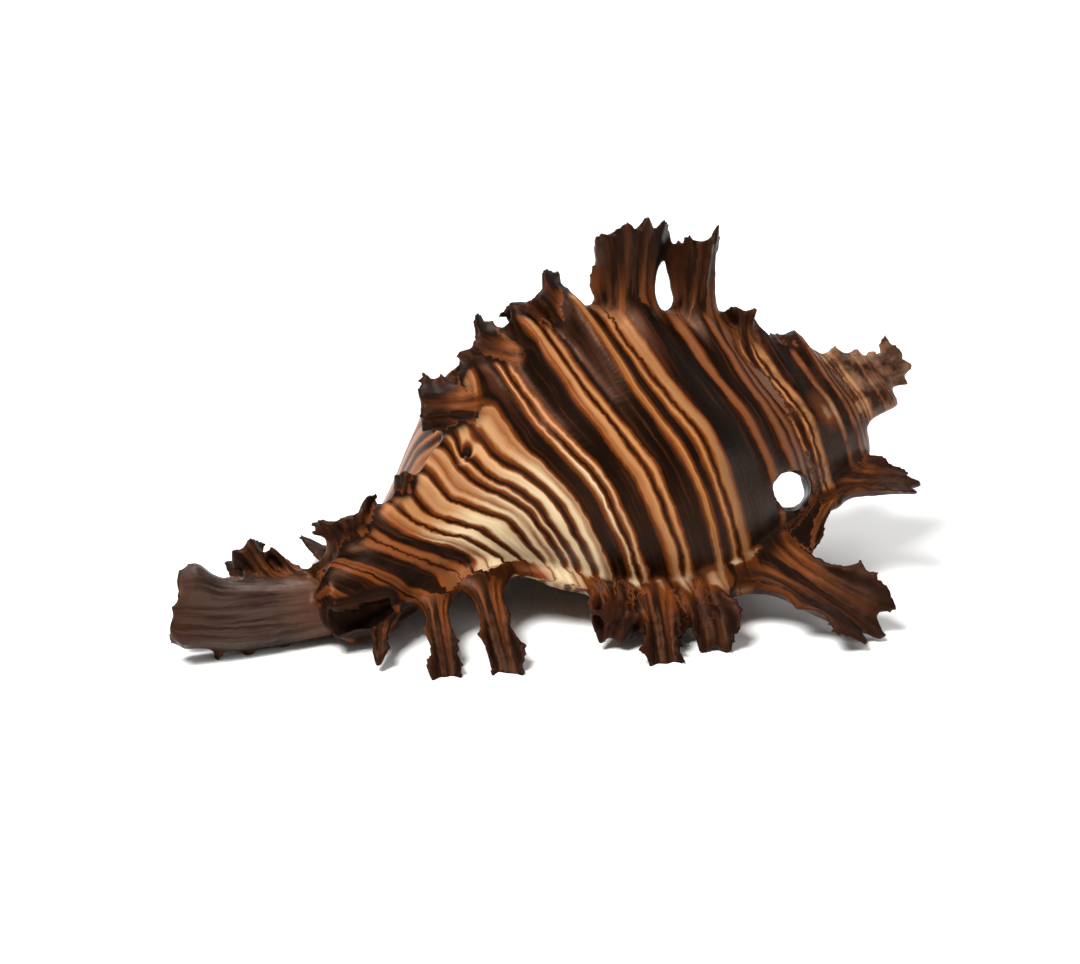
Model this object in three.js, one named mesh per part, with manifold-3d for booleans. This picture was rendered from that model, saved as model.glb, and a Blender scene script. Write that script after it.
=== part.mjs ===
// A murex shell at rest on its mouth: one solid, spirally coiled, with three rows of fronds to a whorl.
// Millimetres and degrees. +Z is up, +X runs along the shell towards its spire.
import * as THREE from "three";
import { mergeVertices } from "three/addons/utils/BufferGeometryUtils.js";
import Module from "manifold-3d";

// Growth. Sizes are those at the outer lip, where the growth angle is 0, and shrink back along the spiral.
const WHORL_EXPANSION = 1.62; // size of a whorl over the one before it
const SPIRE_START = -840; // growth angle at the worn tip of the spire
const VARIX_SPACING = 120; // growth angle from one row of fronds to the next
const VARIX_RISE = 2.1; // height of the ridge that carries a row of fronds
const VARIX_SWELL = 2.6; // what it gains below the belly of the whorl
const VARIX_SWELL_PLACE = 78;
const VARIX_SWELL_REACH = 9;
const VARIX_BACK = 34; // growth angle over which the ridge swells
const VARIX_FRONT = 5; // growth angle over which it falls away
const NODE_RISE = 1.4; // blunt knob on the shoulder, half-way between two ridges
const NODE_WIDTH = 15; // its growth angle
const NODE_REACH = 5; // its half-length along the shell
const SHOULDER = 48; // distance of the shoulder from the apex
const CORE_RADIUS = 0.4; // the whorls reach this far in towards the axis
const COLUMN_RADIUS = 1.6; // the column that they wind around
const TIP_PLACE = 14.4; // distance of the middle of the worn tip from the apex
const TIP_RADIUS = 5.2;
const TIP_HALF_LENGTH = 6;

// Outline of the outer lip: [radius, distance from the apex], from the seam with the whorl above to the canal.
const LIP_OUTLINE = [
  [12.5, 31.5], [16, 35], [19.2, 41], [21.9, 47.5], [22.9, 53.5], [22.8, 58.5], [21.8, 64],
  [18.9, 69.7], [15.2, 74], [11.8, 77.8], [9.3, 80.8], [7.7, 84], [6.6, 88], [5.9, 93], [5.4, 99],
];

// How the shell lies: its axis slopes up to the spire, and its second varix stands straight up.
const AXIS_TILT = 9;
const APEX_PLACE = [52.1, -0.9, 21];

// Siphonal canal: a bent tube on the axis, with the stub of an older canal beside it.
const CANAL_LENGTH = 98.5; // distance of its mouth from the apex
const CANAL_ROOT = 66;
const CANAL_RADII = [5, 4.6, 4.3, 4.4, 4.5, 4.3, 4.2];
const CANAL_SAG = 4.2; // dip towards the mouth side
const CANAL_SAG_PLACE = 79;
const CANAL_SAG_REACH = 13;
const CANAL_RECURVE = 2.6; // upturn at the end
const CANAL_RECURVE_START = 92;
const CANAL_BORE = 1.5;
const STUB_LINE = [[7, 56], [6.8, 64], [6.2, 72], [5.6, 80.5]]; // radius and distance of its middle
const STUB_RADII = [2.6, 3.6, 3.4, 3.1];
const STUB_BORE = 2.1;

// Mouth: an oval tunnel that winds back into the last whorl.
const MOUTH_CENTRE = [15.2, 60]; // radius and distance from the apex
const MOUTH_HALF_WIDTH = 7;
const MOUTH_HALF_LENGTH = 12.5;
const MOUTH_DEPTH = 105; // growth angle that the tunnel reaches back

// Faceting.
const OUTLINE_STEPS = 27;
const VARIX_STEPS = [0, 5, 16, 30, 45, 60, 75, 89, 102, 112];
const FROND_SIDES = 10;
const FROND_STEPS = [-0.16, 0.1, 0.32, 0.56, 0.8, 1];
const FROND_SETBACK = 0.35; // a frond stands this far behind the edge of its varix

// Fronds of each varix, numbered back from the outer lip. Each frond: [radius, distance from the apex] of its
// root and of its tip, half-width at the root and at the tip, bend against the growth, prongs at the tip.
const FRONDS = [
  { varix: 0, rows: [
    [[17.5, 38.5], [23, 34], 2.6, 2.4, 4, 2], [[22.5, 47.5], [30, 43], 3.6, 3.8, 6, 3],
    [[23.5, 56], [28, 57], 2.8, 2.6, 5, 2], [[22.5, 64], [26, 67], 2.8, 2.6, 5, 2],
    [[20, 70.5], [22.5, 76], 2.6, 2.4, 5, 2], [[9, 84], [15, 87], 2.2, 2, 4, 2],
    [[5, 91], [11, 93.5], 2, 1.8, 3, 2],
  ] },
  { varix: 1, rows: [
    [[15.6, 32.9], [27, 30], 3, 3.3, 1, 3], [[18.8, 40.9], [30.6, 38.2], 3.6, 4, 1, 4],
    [[19, 47.6], [25.8, 51.6], 2.9, 2.7, 1.5, 3], [[17.6, 54.5], [22, 61.4], 2.9, 2.9, 1.5, 3],
    [[14.6, 60], [17, 66.8], 2.8, 2.3, 1, 2], [[5, 71], [8, 69.8], 1.3, 0.6, 0, 1],
    [[1, 77], [6.6, 77.4], 2.6, 3, 0.5, 3],
  ] },
  { varix: 2, rows: [
    [[15.6, 33.6], [29.6, 26.6], 3.6, 4.6, 0, 3], [[14.8, 40.6], [25, 43.4], 2.6, 2.3, 0, 2],
    [[14.4, 46.3], [26.3, 49.9], 2.3, 2, 0, 2], [[12.6, 50.9], [19.4, 53.7], 2.7, 2.2, 0, 2],
    [[7.6, 64.5], [21, 67.2], 2, 2, 0, 2], [[7.4, 70.5], [19.4, 73.8], 1.8, 1.8, 0, 2],
    [[8, 77], [13.6, 79.6], 1.5, 0.8, 0, 1],
  ] },
  { varix: 3, rows: [[[13.6, 29.4], [21, 24], 2.7, 2.8, 2, 3]] },
  { varix: 4, rows: [[[12.2, 26.2], [17.4, 25.4], 2.8, 2.2, 1, 2], [[9, 22.6], [11.6, 21.2], 2, 1.6, 0, 2]] },
  { varix: 5, rows: [[[8, 21], [11.9, 10.9], 2.6, 2.4, 0, 2], [[8.6, 20.6], [16, 28.4], 1.7, 1.7, 0, 1]] },
  { varix: 6, rows: [[[8.2, 18], [13, 12], 2.2, 2, 1, 2]] },
  { varix: 7, rows: [[[4, 13.4], [5.4, 7], 2.4, 3, 0, 3]] },
];

const wasm = await Module();
wasm.setup();

const radians = THREE.MathUtils.degToRad;
const ease = THREE.MathUtils.smoothstep;
const bell = (x) => Math.exp(-x * x);

// Growth: how large the shell was at a growth angle, and where on it a point lay.
const growth = (angle) => WHORL_EXPANSION ** (angle / 360);
const azimuth = (angle) => radians(-VARIX_SPACING - angle);
const apexward = new THREE.Vector3(0, 0, 1);
const dorsal = new THREE.Vector3(1, 0, 0);
const radial = (angle) => new THREE.Vector3(Math.cos(azimuth(angle)), Math.sin(azimuth(angle)), 0);
const forward = (angle) => new THREE.Vector3(Math.sin(azimuth(angle)), -Math.cos(azimuth(angle)), 0);

function axisPoint(distance) {
  const recurve = Math.max(0, (distance - CANAL_RECURVE_START) / (CANAL_LENGTH - CANAL_RECURVE_START));
  const rise = CANAL_RECURVE * recurve ** 2
    - CANAL_SAG * bell((distance - CANAL_SAG_PLACE) / CANAL_SAG_REACH);
  return dorsal.clone().multiplyScalar(rise).setZ(-distance);
}

function shellPoint(angle, radius, distance) {
  const size = growth(angle);
  return axisPoint(distance * size).addScaledVector(radial(angle), radius * size);
}

// The lip's outline, and the ridges and knobs that the growing lip leaves behind it.
const lipCurve = new THREE.CatmullRomCurve3(LIP_OUTLINE.map(([r, d]) => new THREE.Vector3(r, d, 0)));
const lipPoints = lipCurve.getSpacedPoints(OUTLINE_STEPS);

function relief(angle, distance) {
  const since = THREE.MathUtils.euclideanModulo(angle, VARIX_SPACING);
  const ridge = Math.max(ease(since, VARIX_SPACING - VARIX_BACK, VARIX_SPACING), 1 - ease(since, 0, VARIX_FRONT));
  const along = ease(distance, 33, 40);
  const knob = bell((since - VARIX_SPACING / 2) / NODE_WIDTH) * bell((distance - SHOULDER) / NODE_REACH);
  const rise = VARIX_RISE + VARIX_SWELL * bell((distance - VARIX_SWELL_PLACE) / VARIX_SWELL_REACH);
  return rise * ridge * along + NODE_RISE * knob;
}

// A closed solid through rings of points. Its ends are strips from each point to the one across the ring.
function loft(rings) {
  const count = rings[0].length;
  const last = (rings.length - 1) * count;
  const faces = [];
  for (let ring = 0; ring < rings.length - 1; ring++) {
    for (let i = 0; i < count; i++) {
      const [a, b] = [ring * count + i, ring * count + (i + 1) % count];
      faces.push([a, b, b + count], [a, b + count, a + count]);
    }
  }
  for (let i = 0; i < count / 2 - 1; i++) {
    const [a, b, c, d] = [i, i + 1, count - 2 - i, count - 1 - i];
    faces.push([c, b, a], [d, c, a]);
    faces.push([a + last, b + last, c + last], [a + last, c + last, d + last]);
  }
  return solid(rings.flat(), faces.filter(([a, b, c]) => a !== b && b !== c && c !== a));
}

function solid(points, faces) {
  const made = (triangles) => new wasm.Manifold(new wasm.Mesh({
    numProp: 3,
    vertProperties: new Float32Array(points.flatMap((p) => p.toArray())),
    triVerts: new Uint32Array(triangles.flat()),
  }));
  const first = made(faces);
  return first.volume() > 0 ? first : made(faces.map(([a, b, c]) => [c, b, a]));
}

function fromGeometry(geometry) {
  const bare = new THREE.BufferGeometry();
  bare.setAttribute("position", geometry.attributes.position);
  bare.setIndex(geometry.index);
  const welded = mergeVertices(bare, 1e-4);
  const points = Array.from({ length: welded.attributes.position.count },
    (_, i) => new THREE.Vector3().fromBufferAttribute(welded.attributes.position, i));
  const index = welded.index.array;
  const faces = [];
  for (let i = 0; i < index.length; i += 3) {
    const [a, b, c] = [index[i], index[i + 1], index[i + 2]];
    if (a !== b && b !== c && c !== a) faces.push([a, b, c]);
  }
  return solid(points, faces);
}

// The coiled body, one solid for each stretch from ridge to ridge.
function bodySection(angle) {
  const outer = lipPoints.map((p) => shellPoint(angle, p.x + relief(angle, p.y), p.y));
  const inner = lipPoints.map((p) => shellPoint(angle, CORE_RADIUS, p.y));
  return [...outer, ...inner.reverse()];
}

function bodyStretch(start) {
  const angles = [...VARIX_STEPS, VARIX_SPACING].map((step) => start + step);
  return loft(angles.map(bodySection));
}

function bodyStretches() {
  const stretches = [];
  for (let start = SPIRE_START; start < 0; start += VARIX_SPACING) stretches.push(bodyStretch(start));
  return stretches;
}

// One frond: a folded blade that stands on a ridge, hollow on its growing side, with a flared and pronged end.
function frond(varix, [root, tip, rootHalf, tipHalf, bend, prongs]) {
  const angle = -VARIX_SPACING * varix;
  const [out, ahead] = [radial(angle), forward(angle)];
  const start = out.clone().multiplyScalar(root[0]).setZ(-root[1]);
  const reach = out.clone().multiplyScalar(tip[0]).setZ(-tip[1]).sub(start);
  const length = reach.length();
  const across = reach.clone().cross(ahead).normalize();
  const waist = 0.72 * Math.min(rootHalf, tipHalf);
  const rings = FROND_STEPS.map((step) => {
    const t = Math.max(0, step);
    const half = rootHalf * (1 - t) ** 2 + 2 * waist * t * (1 - t) + tipHalf * t ** 2;
    const thick = THREE.MathUtils.lerp(1.3, 0.55, t);
    const middle = start.clone().addScaledVector(reach, step)
      .addScaledVector(ahead, -FROND_SETBACK - bend * t ** 2);
    return Array.from({ length: FROND_SIDES }, (_, i) => {
      const turn = 2 * Math.PI * (i + 0.5) / FROND_SIDES;
      const side = Math.cos(turn);
      const fold = 0.55 * half * (side * side - 0.4) * t;
      const prong = 0.12 * t ** 3 * Math.cos(Math.PI * (prongs - 1) * (side + 1));
      return middle.clone().addScaledVector(across, half * side)
        .addScaledVector(ahead, fold + thick * Math.sin(turn))
        .addScaledVector(reach, prong);
    });
  });
  return loft(rings);
}

// A round tube around points on a line, each ring square to the shell's axis.
function tube(centres, radii, sides) {
  return loft(centres.map((centre, ring) => Array.from({ length: sides }, (_, i) => {
    const turn = 2 * Math.PI * (i + 0.5) / sides;
    return centre.clone().add(new THREE.Vector3(Math.cos(turn), Math.sin(turn), 0).multiplyScalar(radii[ring]));
  })));
}

function canal() {
  const step = (CANAL_LENGTH - CANAL_ROOT) / (CANAL_RADII.length - 1);
  return tube(CANAL_RADII.map((_, i) => axisPoint(CANAL_ROOT + step * i)), CANAL_RADII, 12);
}

function column() {
  const stops = [TIP_PLACE, 30, 45, 60, 68, 76];
  return tube(stops.map(axisPoint), stops.map(() => COLUMN_RADIUS), 8);
}

function canalBore() {
  const stops = [78, 84, 90, 95, CANAL_LENGTH + 1];
  return tube(stops.map(axisPoint), stops.map(() => CANAL_BORE), 8);
}

function stubCentres() {
  const side = radial(-2 * VARIX_SPACING);
  return STUB_LINE.map(([radius, distance]) => axisPoint(distance).addScaledVector(side, radius));
}

function stub() {
  return tube(stubCentres(), STUB_RADII, 10);
}

function stubBore() {
  const [inner, end] = stubCentres().slice(-2);
  const beyond = end.clone().lerp(inner, -0.2);
  return tube([inner.clone().lerp(end, 0.2), beyond], [0.7 * STUB_BORE, STUB_BORE], 8);
}

// The mouth: an oval that winds back into the last whorl, narrowing to a blind end.
function mouthRing(angle, share) {
  return Array.from({ length: 14 }, (_, i) => {
    const turn = 2 * Math.PI * (i + 0.5) / 14;
    return shellPoint(angle, MOUTH_CENTRE[0] + share * MOUTH_HALF_WIDTH * Math.cos(turn),
      MOUTH_CENTRE[1] + share * MOUTH_HALF_LENGTH * Math.sin(turn));
  });
}

function mouth() {
  const steps = [12, -8, -30, -55, -80, -MOUTH_DEPTH];
  const shares = [1.06, 1, 0.94, 0.86, 0.68, 0.2];
  return loft(steps.map((angle, i) => mouthRing(angle, shares[i])));
}

// The worn tip of the spire, a blunt cone of the oldest whorls.
function spireTip() {
  const tip = new THREE.SphereGeometry(1, 12, 8);
  tip.scale(TIP_RADIUS, TIP_HALF_LENGTH, TIP_RADIUS).rotateX(Math.PI / 2).translate(0, 0, -TIP_PLACE);
  return fromGeometry(tip);
}

// How the shell lies: the up of its axis, its near side and its spire as the world sees them.
function restingPlace() {
  const tilt = radians(AXIS_TILT);
  const up = new THREE.Vector3(-Math.sin(tilt), 0, Math.cos(tilt));
  const near = new THREE.Vector3(0, -1, 0);
  const spire = new THREE.Vector3(Math.cos(tilt), 0, Math.sin(tilt));
  return new THREE.Matrix4().makeBasis(up, near, spire).setPosition(...APEX_PLACE);
}

// What lies below the resting plane has been worn off the feet.
function belowGround(place) {
  const block = new THREE.BoxGeometry(200, 200, 40).translate(0, 0, -20);
  return fromGeometry(block.applyMatrix4(place.clone().invert()));
}

// The whorls close on each other along the axis, so nothing hollow is left there.
function outerSkin(joined) {
  return joined.decompose().reduce((largest, piece) => (piece.volume() > largest.volume() ? piece : largest));
}

const place = restingPlace();
const fronds = FRONDS.flatMap(({ varix, rows }) => rows.map((row) => frond(varix, row)));
const whole = outerSkin(wasm.Manifold.union([...bodyStretches(), column(), spireTip(), canal(), stub(), ...fronds]))
  .subtract(mouth())
  .subtract(canalBore())
  .subtract(stubBore())
  .subtract(belowGround(place))
  .simplify(0.02);

const { vertProperties, triVerts } = whole.getMesh();
const geometry = new THREE.BufferGeometry();
geometry.setAttribute("position", new THREE.BufferAttribute(new Float32Array(vertProperties), 3));
geometry.setIndex(new THREE.BufferAttribute(new Uint32Array(triVerts), 1));
geometry.computeVertexNormals();

const shell = new THREE.Mesh(geometry, new THREE.MeshStandardMaterial({ color: 0x5a3826, roughness: 0.45 }));
shell.name = "shell";
shell.applyMatrix4(place);

const murex = new THREE.Group();
murex.add(shell);
export default murex;
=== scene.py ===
# %% [markdown]
# # A murex shell, grown by a rule
# A sea snail adds to its shell only at the lip, so every whorl is the same curve, turned and enlarged.
# This lesson grows the shell the same way: Geometry Nodes turn a flat grid into the coiled body, and lay
# the leaf-like fronds on it, three rows to a whorl. The parts are then melted into one skin, hollowed,
# and painted by how old each point of the shell is and how far along the lip it was laid down.

# %% Load the frame
import math
from math import cos, radians, sin

import bpy
from mathutils import Matrix, Vector


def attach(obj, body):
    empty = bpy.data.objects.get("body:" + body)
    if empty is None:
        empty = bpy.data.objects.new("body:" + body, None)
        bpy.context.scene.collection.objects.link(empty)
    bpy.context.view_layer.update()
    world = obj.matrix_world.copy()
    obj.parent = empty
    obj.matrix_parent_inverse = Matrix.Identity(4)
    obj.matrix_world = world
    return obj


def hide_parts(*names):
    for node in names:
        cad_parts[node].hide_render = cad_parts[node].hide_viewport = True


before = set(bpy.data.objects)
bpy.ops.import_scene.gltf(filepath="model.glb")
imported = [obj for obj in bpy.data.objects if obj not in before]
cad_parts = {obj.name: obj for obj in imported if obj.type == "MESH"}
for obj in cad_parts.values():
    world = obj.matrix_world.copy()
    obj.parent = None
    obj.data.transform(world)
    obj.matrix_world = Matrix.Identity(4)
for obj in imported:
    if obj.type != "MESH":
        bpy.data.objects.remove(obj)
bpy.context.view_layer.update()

# %% [markdown]
# ## The sizes that drive it
# The spiral and the lip's outline are those of the solid model, in millimetres and degrees, so the skin
# made here lies close to the solid. The spire and the canal run on a little further, as in the
# photograph. Sizes are those at the outer lip, where the growth angle is 0. Going back along the spiral
# they shrink by the whorl expansion for each full turn.

# %% Driving sizes
WHORL_EXPANSION = 1.62
SPIRE_START = -925
FULL_TURN, VARIX_SPACING = 360, 120
AXIS_TILT = 9
APEX_PLACE = Vector((52.1, -0.9, 21))
LIP_OUTLINE = [
    (12.5, 31.5), (16, 35), (19.2, 41), (21.9, 47.5), (22.9, 53.5), (22.8, 58.5), (21.8, 64),
    (18.9, 69.7), (15.2, 74), (11.8, 77.8), (9.3, 80.8), (7.7, 84), (6.6, 88), (5.9, 93), (5.4, 99),
]
CANAL_SAG, CANAL_SAG_PLACE, CANAL_SAG_REACH = 4.2, 81, 15
CANAL_RECURVE, CANAL_RECURVE_START, CANAL_LENGTH = 1.5, 91, 97.8
MM = 0.001


def growth(angle):
    return WHORL_EXPANSION ** (angle / FULL_TURN)


def azimuth(angle):
    return radians(-VARIX_SPACING - angle)


def radial(angle):
    return Vector((cos(azimuth(angle)), sin(azimuth(angle)), 0))


def forward(angle):
    return Vector((sin(azimuth(angle)), -cos(azimuth(angle)), 0))


def axis_point(distance):
    recurve = max(0, (distance - CANAL_RECURVE_START) / (CANAL_LENGTH - CANAL_RECURVE_START))
    sag = math.exp(-(((distance - CANAL_SAG_PLACE) / CANAL_SAG_REACH) ** 2))
    return Vector((CANAL_RECURVE * recurve**2 - CANAL_SAG * sag, 0, -distance))


tilt = radians(AXIS_TILT)
resting_place = Matrix((
    (-sin(tilt), 0, cos(tilt), APEX_PLACE.x),
    (0, -1, 0, APEX_PLACE.y),
    (cos(tilt), 0, sin(tilt), APEX_PLACE.z),
    (0, 0, 0, 1),
))
print("one whorl back the shell was", round(growth(-FULL_TURN), 3), "of its size")

# %% [markdown]
# ## Tools for node trees
# A node tree is a formula that Blender can draw. One small function adds a node, sets its options and
# feeds its inputs, so a formula reads from top to bottom. Others draw a smooth hump and soft random
# patches, make an empty tree with named inputs, and run a tree on an object to keep the result as a plain
# mesh.

# %% Tree tools
VECTOR, RANGE, NOISE = "ShaderNodeVectorMath", "ShaderNodeMapRange", "ShaderNodeTexNoise"
JOIN, SPLIT = "ShaderNodeCombineXYZ", "ShaderNodeSeparateXYZ"
ATTRIBUTE, STORE = "GeometryNodeInputNamedAttribute", "GeometryNodeStoreNamedAttribute"
POSITION, MOVE = "GeometryNodeInputPosition", "GeometryNodeSetPosition"
SMOOTH, VECTORS = {"interpolation_type": "SMOOTHSTEP"}, {"data_type": "FLOAT_VECTOR"}
GRID_EDGE = 0.49999
MERGE_DISTANCE = 0.001


def add(tree, kind, *values, out=0, named=(), **settings):
    """Add a node, set its options, fill or link its inputs, and hand back one of its outputs.
    A kind in capitals is an operation of the Math node."""
    if kind.isupper():
        kind, settings = "ShaderNodeMath", {"operation": kind}
    node = tree.nodes.new(kind)
    for name, value in settings.items():
        setattr(node, name, value)
    for key, value in [*enumerate(values), *dict(named).items()]:
        if isinstance(value, bpy.types.NodeSocket):
            tree.links.new(value, node.inputs[key])
        else:
            node.inputs[key].default_value = value
    return node.outputs[out] if node.outputs else node


def bell(tree, value, centre, reach):
    """A smooth hump, 1 at its centre and nearly 0 two reaches away."""
    away = add(tree, "SUBTRACT", value, centre)
    away = add(tree, "DIVIDE", away, reach)
    away = add(tree, "MULTIPLY", away, away)
    return add(tree, "EXPONENT", add(tree, "MULTIPLY", away, -1.0))


def patches(tree, one, one_size, other, other_size, detail):
    """Soft random patches, 0 to 1, with a size of their own in each of two directions."""
    one = add(tree, "DIVIDE", one, one_size)
    spread = add(tree, JOIN, one, add(tree, "DIVIDE", other, other_size))
    return add(tree, NOISE, named={"Vector": spread, "Scale": 1.0, "Detail": detail})


def new_tree(name, inputs, output="NodeSocketGeometry"):
    """An empty tree with number inputs (a name and a default each), and the sockets they come in by."""
    tree = bpy.data.node_groups.new(name, "GeometryNodeTree")
    for label, value in inputs.items():
        kind = "NodeSocketInt" if isinstance(value, int) else "NodeSocketFloat"
        if value is None:
            kind = "NodeSocketGeometry"
        socket = tree.interface.new_socket(label, in_out="INPUT", socket_type=kind)
        if value is not None:
            socket.default_value = value
    tree.interface.new_socket("Result", in_out="OUTPUT", socket_type=output)
    return tree, tree.nodes.new("NodeGroupInput").outputs


shell_finish = bpy.data.materials.new("banded_calcite_shell")


def end_tree(tree, geometry):
    """Every tree ends with its copies made real and the shell's finish on them."""
    real = add(tree, "GeometryNodeRealizeInstances", geometry)
    finished = add(tree, "GeometryNodeSetMaterial", named={"Geometry": real, "Material": shell_finish})
    add(tree, "NodeGroupOutput", finished)


def plain_mesh(source):
    """Keep what an object's modifiers make as a plain mesh, in an object that takes its place."""
    depsgraph = bpy.context.evaluated_depsgraph_get()
    made = source.evaluated_get(depsgraph)
    mesh = bpy.data.meshes.new_from_object(made, preserve_all_data_layers=True, depsgraph=depsgraph)
    name = source.name
    bpy.data.objects.remove(source)
    plain = bpy.data.objects.new(name, mesh)
    bpy.context.scene.collection.objects.link(plain)
    return plain


def grow(name, tree, sizes=(), points=None):
    """Run a tree on a new object, or on points, with the sizes set by socket identifier."""
    obj = bpy.data.objects.new(name, points or bpy.data.meshes.new(name))
    bpy.context.scene.collection.objects.link(obj)
    modifier = obj.modifiers.new(name, "NODES")
    modifier.node_group = tree
    for socket in tree.interface.items_tree:
        if socket.name in dict(sizes):
            modifier[socket.identifier] = dict(sizes)[socket.name]
    plain = plain_mesh(obj)
    print(name, "has", len(plain.data.polygons), "faces")
    return plain


# %% [markdown]
# ## The spiral as a node group
# Every part of the shell is placed by the same three numbers: the growth angle at which it was laid down,
# its radius from the axis, and its distance from the apex, both as they would be on the grown lip. The
# group turns these into a place. It also bends the lower end, where the canal dips and turns up again.

# %% Spiral group
def spiral_group():
    inputs = {"Growth angle": 0.0, "Radius": 0.0, "Distance": 0.0}
    tree, given = new_tree("Shell spiral", inputs, "NodeSocketVector")
    turns = add(tree, "DIVIDE", given["Growth angle"], FULL_TURN)
    size = add(tree, "POWER", WHORL_EXPANSION, turns)
    angle = add(tree, "SUBTRACT", -VARIX_SPACING, given["Growth angle"])
    angle = add(tree, "RADIANS", angle)
    radius = add(tree, "MULTIPLY", given["Radius"], size)
    distance = add(tree, "MULTIPLY", given["Distance"], size)
    recurve = add(tree, RANGE, distance, CANAL_RECURVE_START, CANAL_LENGTH, 0.0, 1.0, clamp=False)
    recurve = add(tree, "MAXIMUM", recurve, 0.0)
    recurve = add(tree, "MULTIPLY", recurve, recurve)
    recurve = add(tree, "MULTIPLY", recurve, CANAL_RECURVE)
    dip = bell(tree, distance, CANAL_SAG_PLACE, CANAL_SAG_REACH)
    bent = add(tree, "MULTIPLY_ADD", dip, -CANAL_SAG, recurve)
    across = add(tree, "MULTIPLY_ADD", add(tree, "COSINE", angle), radius, bent)
    beside = add(tree, "MULTIPLY", add(tree, "SINE", angle), radius)
    below = add(tree, "MULTIPLY", distance, -1.0)
    add(tree, "NodeGroupOutput", add(tree, JOIN, across, beside, below))
    return tree


spiral = spiral_group()
print("spiral group has", len(spiral.nodes), "nodes")

# %% [markdown]
# ## The coiled body
# The body is one wide sheet: along it runs the growth angle, across it the lip's outline, kept as a curve
# of radius against distance. Where growth paused, the lip thickened into a varix: a ridge that swells
# slowly and ends in a steep, scalloped front. Smaller ridges climb its back to the fronds, with pits
# between them. A blunt knob sits on the shoulder half-way between two varices. Fine cords and bands run
# round the whorls, the dark bands a little sunk, so they are raised along the sheet. Each relief is a
# height that is added to the radius. The sheet's border is drawn in to the axis, which closes it. Two
# attributes go with it for the paint: the place on the spiral, and the zone of the shell.

# %% Body sizes
ANGLE_STEPS = 900
OUTLINE_STEPS = 210
OUTLINE_START, OUTLINE_END = LIP_OUTLINE[0][1], LIP_OUTLINE[-1][1]
PAINT_END = 114
RADIUS_SCALE = 30
BAND_SPACING = 10.8
CORDS_IN_BAND = 6
RIDGE_PLACES = [38.5, 47.5, 56, 63.5, 70.5]
PIT_PLACES = [(112, 63.4), (107, 70.5), (104, 73.8)]
PIT_WIDTH, PIT_REACH = 3.4, 1.1
DARK_BANDS = [
    (38.2, 2), (44.4, 5.8), (52, 0.6), (56.1, 3), (63.4, 2.3), (68.7, 1.4), (87.6, 1.6), (94, 3), (101, 4),
    (109, 3),
]
THIN_LINES = [33.5, 35.2, 49.9, 59.6, 66.3, 72.1, 74.2, 75.6, 78.5, 81.4, 83.8, 90.5, 97.5, 105.5]
FAINT_LINES = [36.6, 40.8, 53.7, 61.4, 70.4, 77, 85.4]
BAND_SOFTNESS, LINE_WIDTH, LINE_SOFTNESS = 1, 0.25, 0.6
LINE_STRENGTH, FAINT_STRENGTH = 0.85, 0.3
SHOULDER_START, SHOULDER_END = 33, 40
SCALLOP_SHARPNESS = 6
COLLAR_START, COLLAR_END, COLLAR_LONG_ANGLE, COLLAR_TOOTH_HALF = 66, 78, -165, 5
HOLLOW_BEGINS, HOLLOW_FADES, HOLLOW_PLACE, HOLLOW_REACH = (-126, -114), (-45, -12), 76.5, 6
WAIST_START, WAIST_END = 80, 92
DRIFT_START, DRIFT_END, DRIFT = 50, 90, 1.8
WAVER, WAVER_TURN, WAVER_LENGTH = 0.6, 15, 4
CLOSER_BEGINS, CLOSER_PLACE, CLOSER = (-118, -112), 66, 0.8
UNEVEN_TURN, UNEVEN_LENGTH = 26, 9
BODY_SIZES = {
    "Spire start": float(SPIRE_START), "Varix rise": 1.7, "Varix swell": 2.2, "Varix swell place": 78.0,
    "Varix swell reach": 9.0, "Varix back": 34.0, "Varix front": 2.5, "Scallop": 0.5,
    "Ridge back": 72.0, "Ridge rise": 5.4, "Ridge width": 2.6,
    "Knob rise": 1.4, "Knob width": 15.0, "Knob reach": 5.0, "Shoulder": 48.0,
    "Cord spacing": BAND_SPACING / CORDS_IN_BAND, "Cord rise": 0.1, "Groove depth": 0.65, "Unevenness": 0.7,
    "Pit depth": 4.0,
    "Collar distance": 77.0, "Collar length": 6.5, "Collar rise": 5.6, "Collar angle": -185.0,
    "Collar reach": 70.0, "Collar teeth": 1.4, "Hollow side": 9.0, "Canal waist": 3.4,
}


# %% Varix relief
def wave(tree, value, spacing):
    """A row of rounded ridges, 0 to 1, one to each spacing."""
    phase = add(tree, "DIVIDE", value, spacing)
    turn = add(tree, "MULTIPLY", phase, math.tau)
    return add(tree, "MULTIPLY_ADD", add(tree, "COSINE", turn), 0.5, 0.5)


def varix_relief(tree, given, since, outline):
    """Height of the ridges where growth paused, with their scalloped fronts."""
    begin = add(tree, "SUBTRACT", VARIX_SPACING, given["Varix back"])
    back = add(tree, RANGE, since, begin, VARIX_SPACING, 0.0, 1.0, **SMOOTH)
    front = add(tree, RANGE, since, 0.0, given["Varix front"], 1.0, 0.0, **SMOOTH)
    ridge = add(tree, "MAXIMUM", back, front)
    swell = bell(tree, outline, given["Varix swell place"], given["Varix swell reach"])
    rise = add(tree, "MULTIPLY_ADD", swell, given["Varix swell"], given["Varix rise"])
    scallop = wave(tree, outline, add(tree, "MULTIPLY", given["Cord spacing"], 2.0))
    scallop = add(tree, "MULTIPLY", scallop, add(tree, "POWER", ridge, SCALLOP_SHARPNESS))
    rise = add(tree, "MULTIPLY_ADD", scallop, given["Scallop"], rise)
    along = add(tree, RANGE, outline, SHOULDER_START, SHOULDER_END, 0.0, 1.0, **SMOOTH)
    return add(tree, "MULTIPLY", add(tree, "MULTIPLY", rise, ridge), along)


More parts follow.
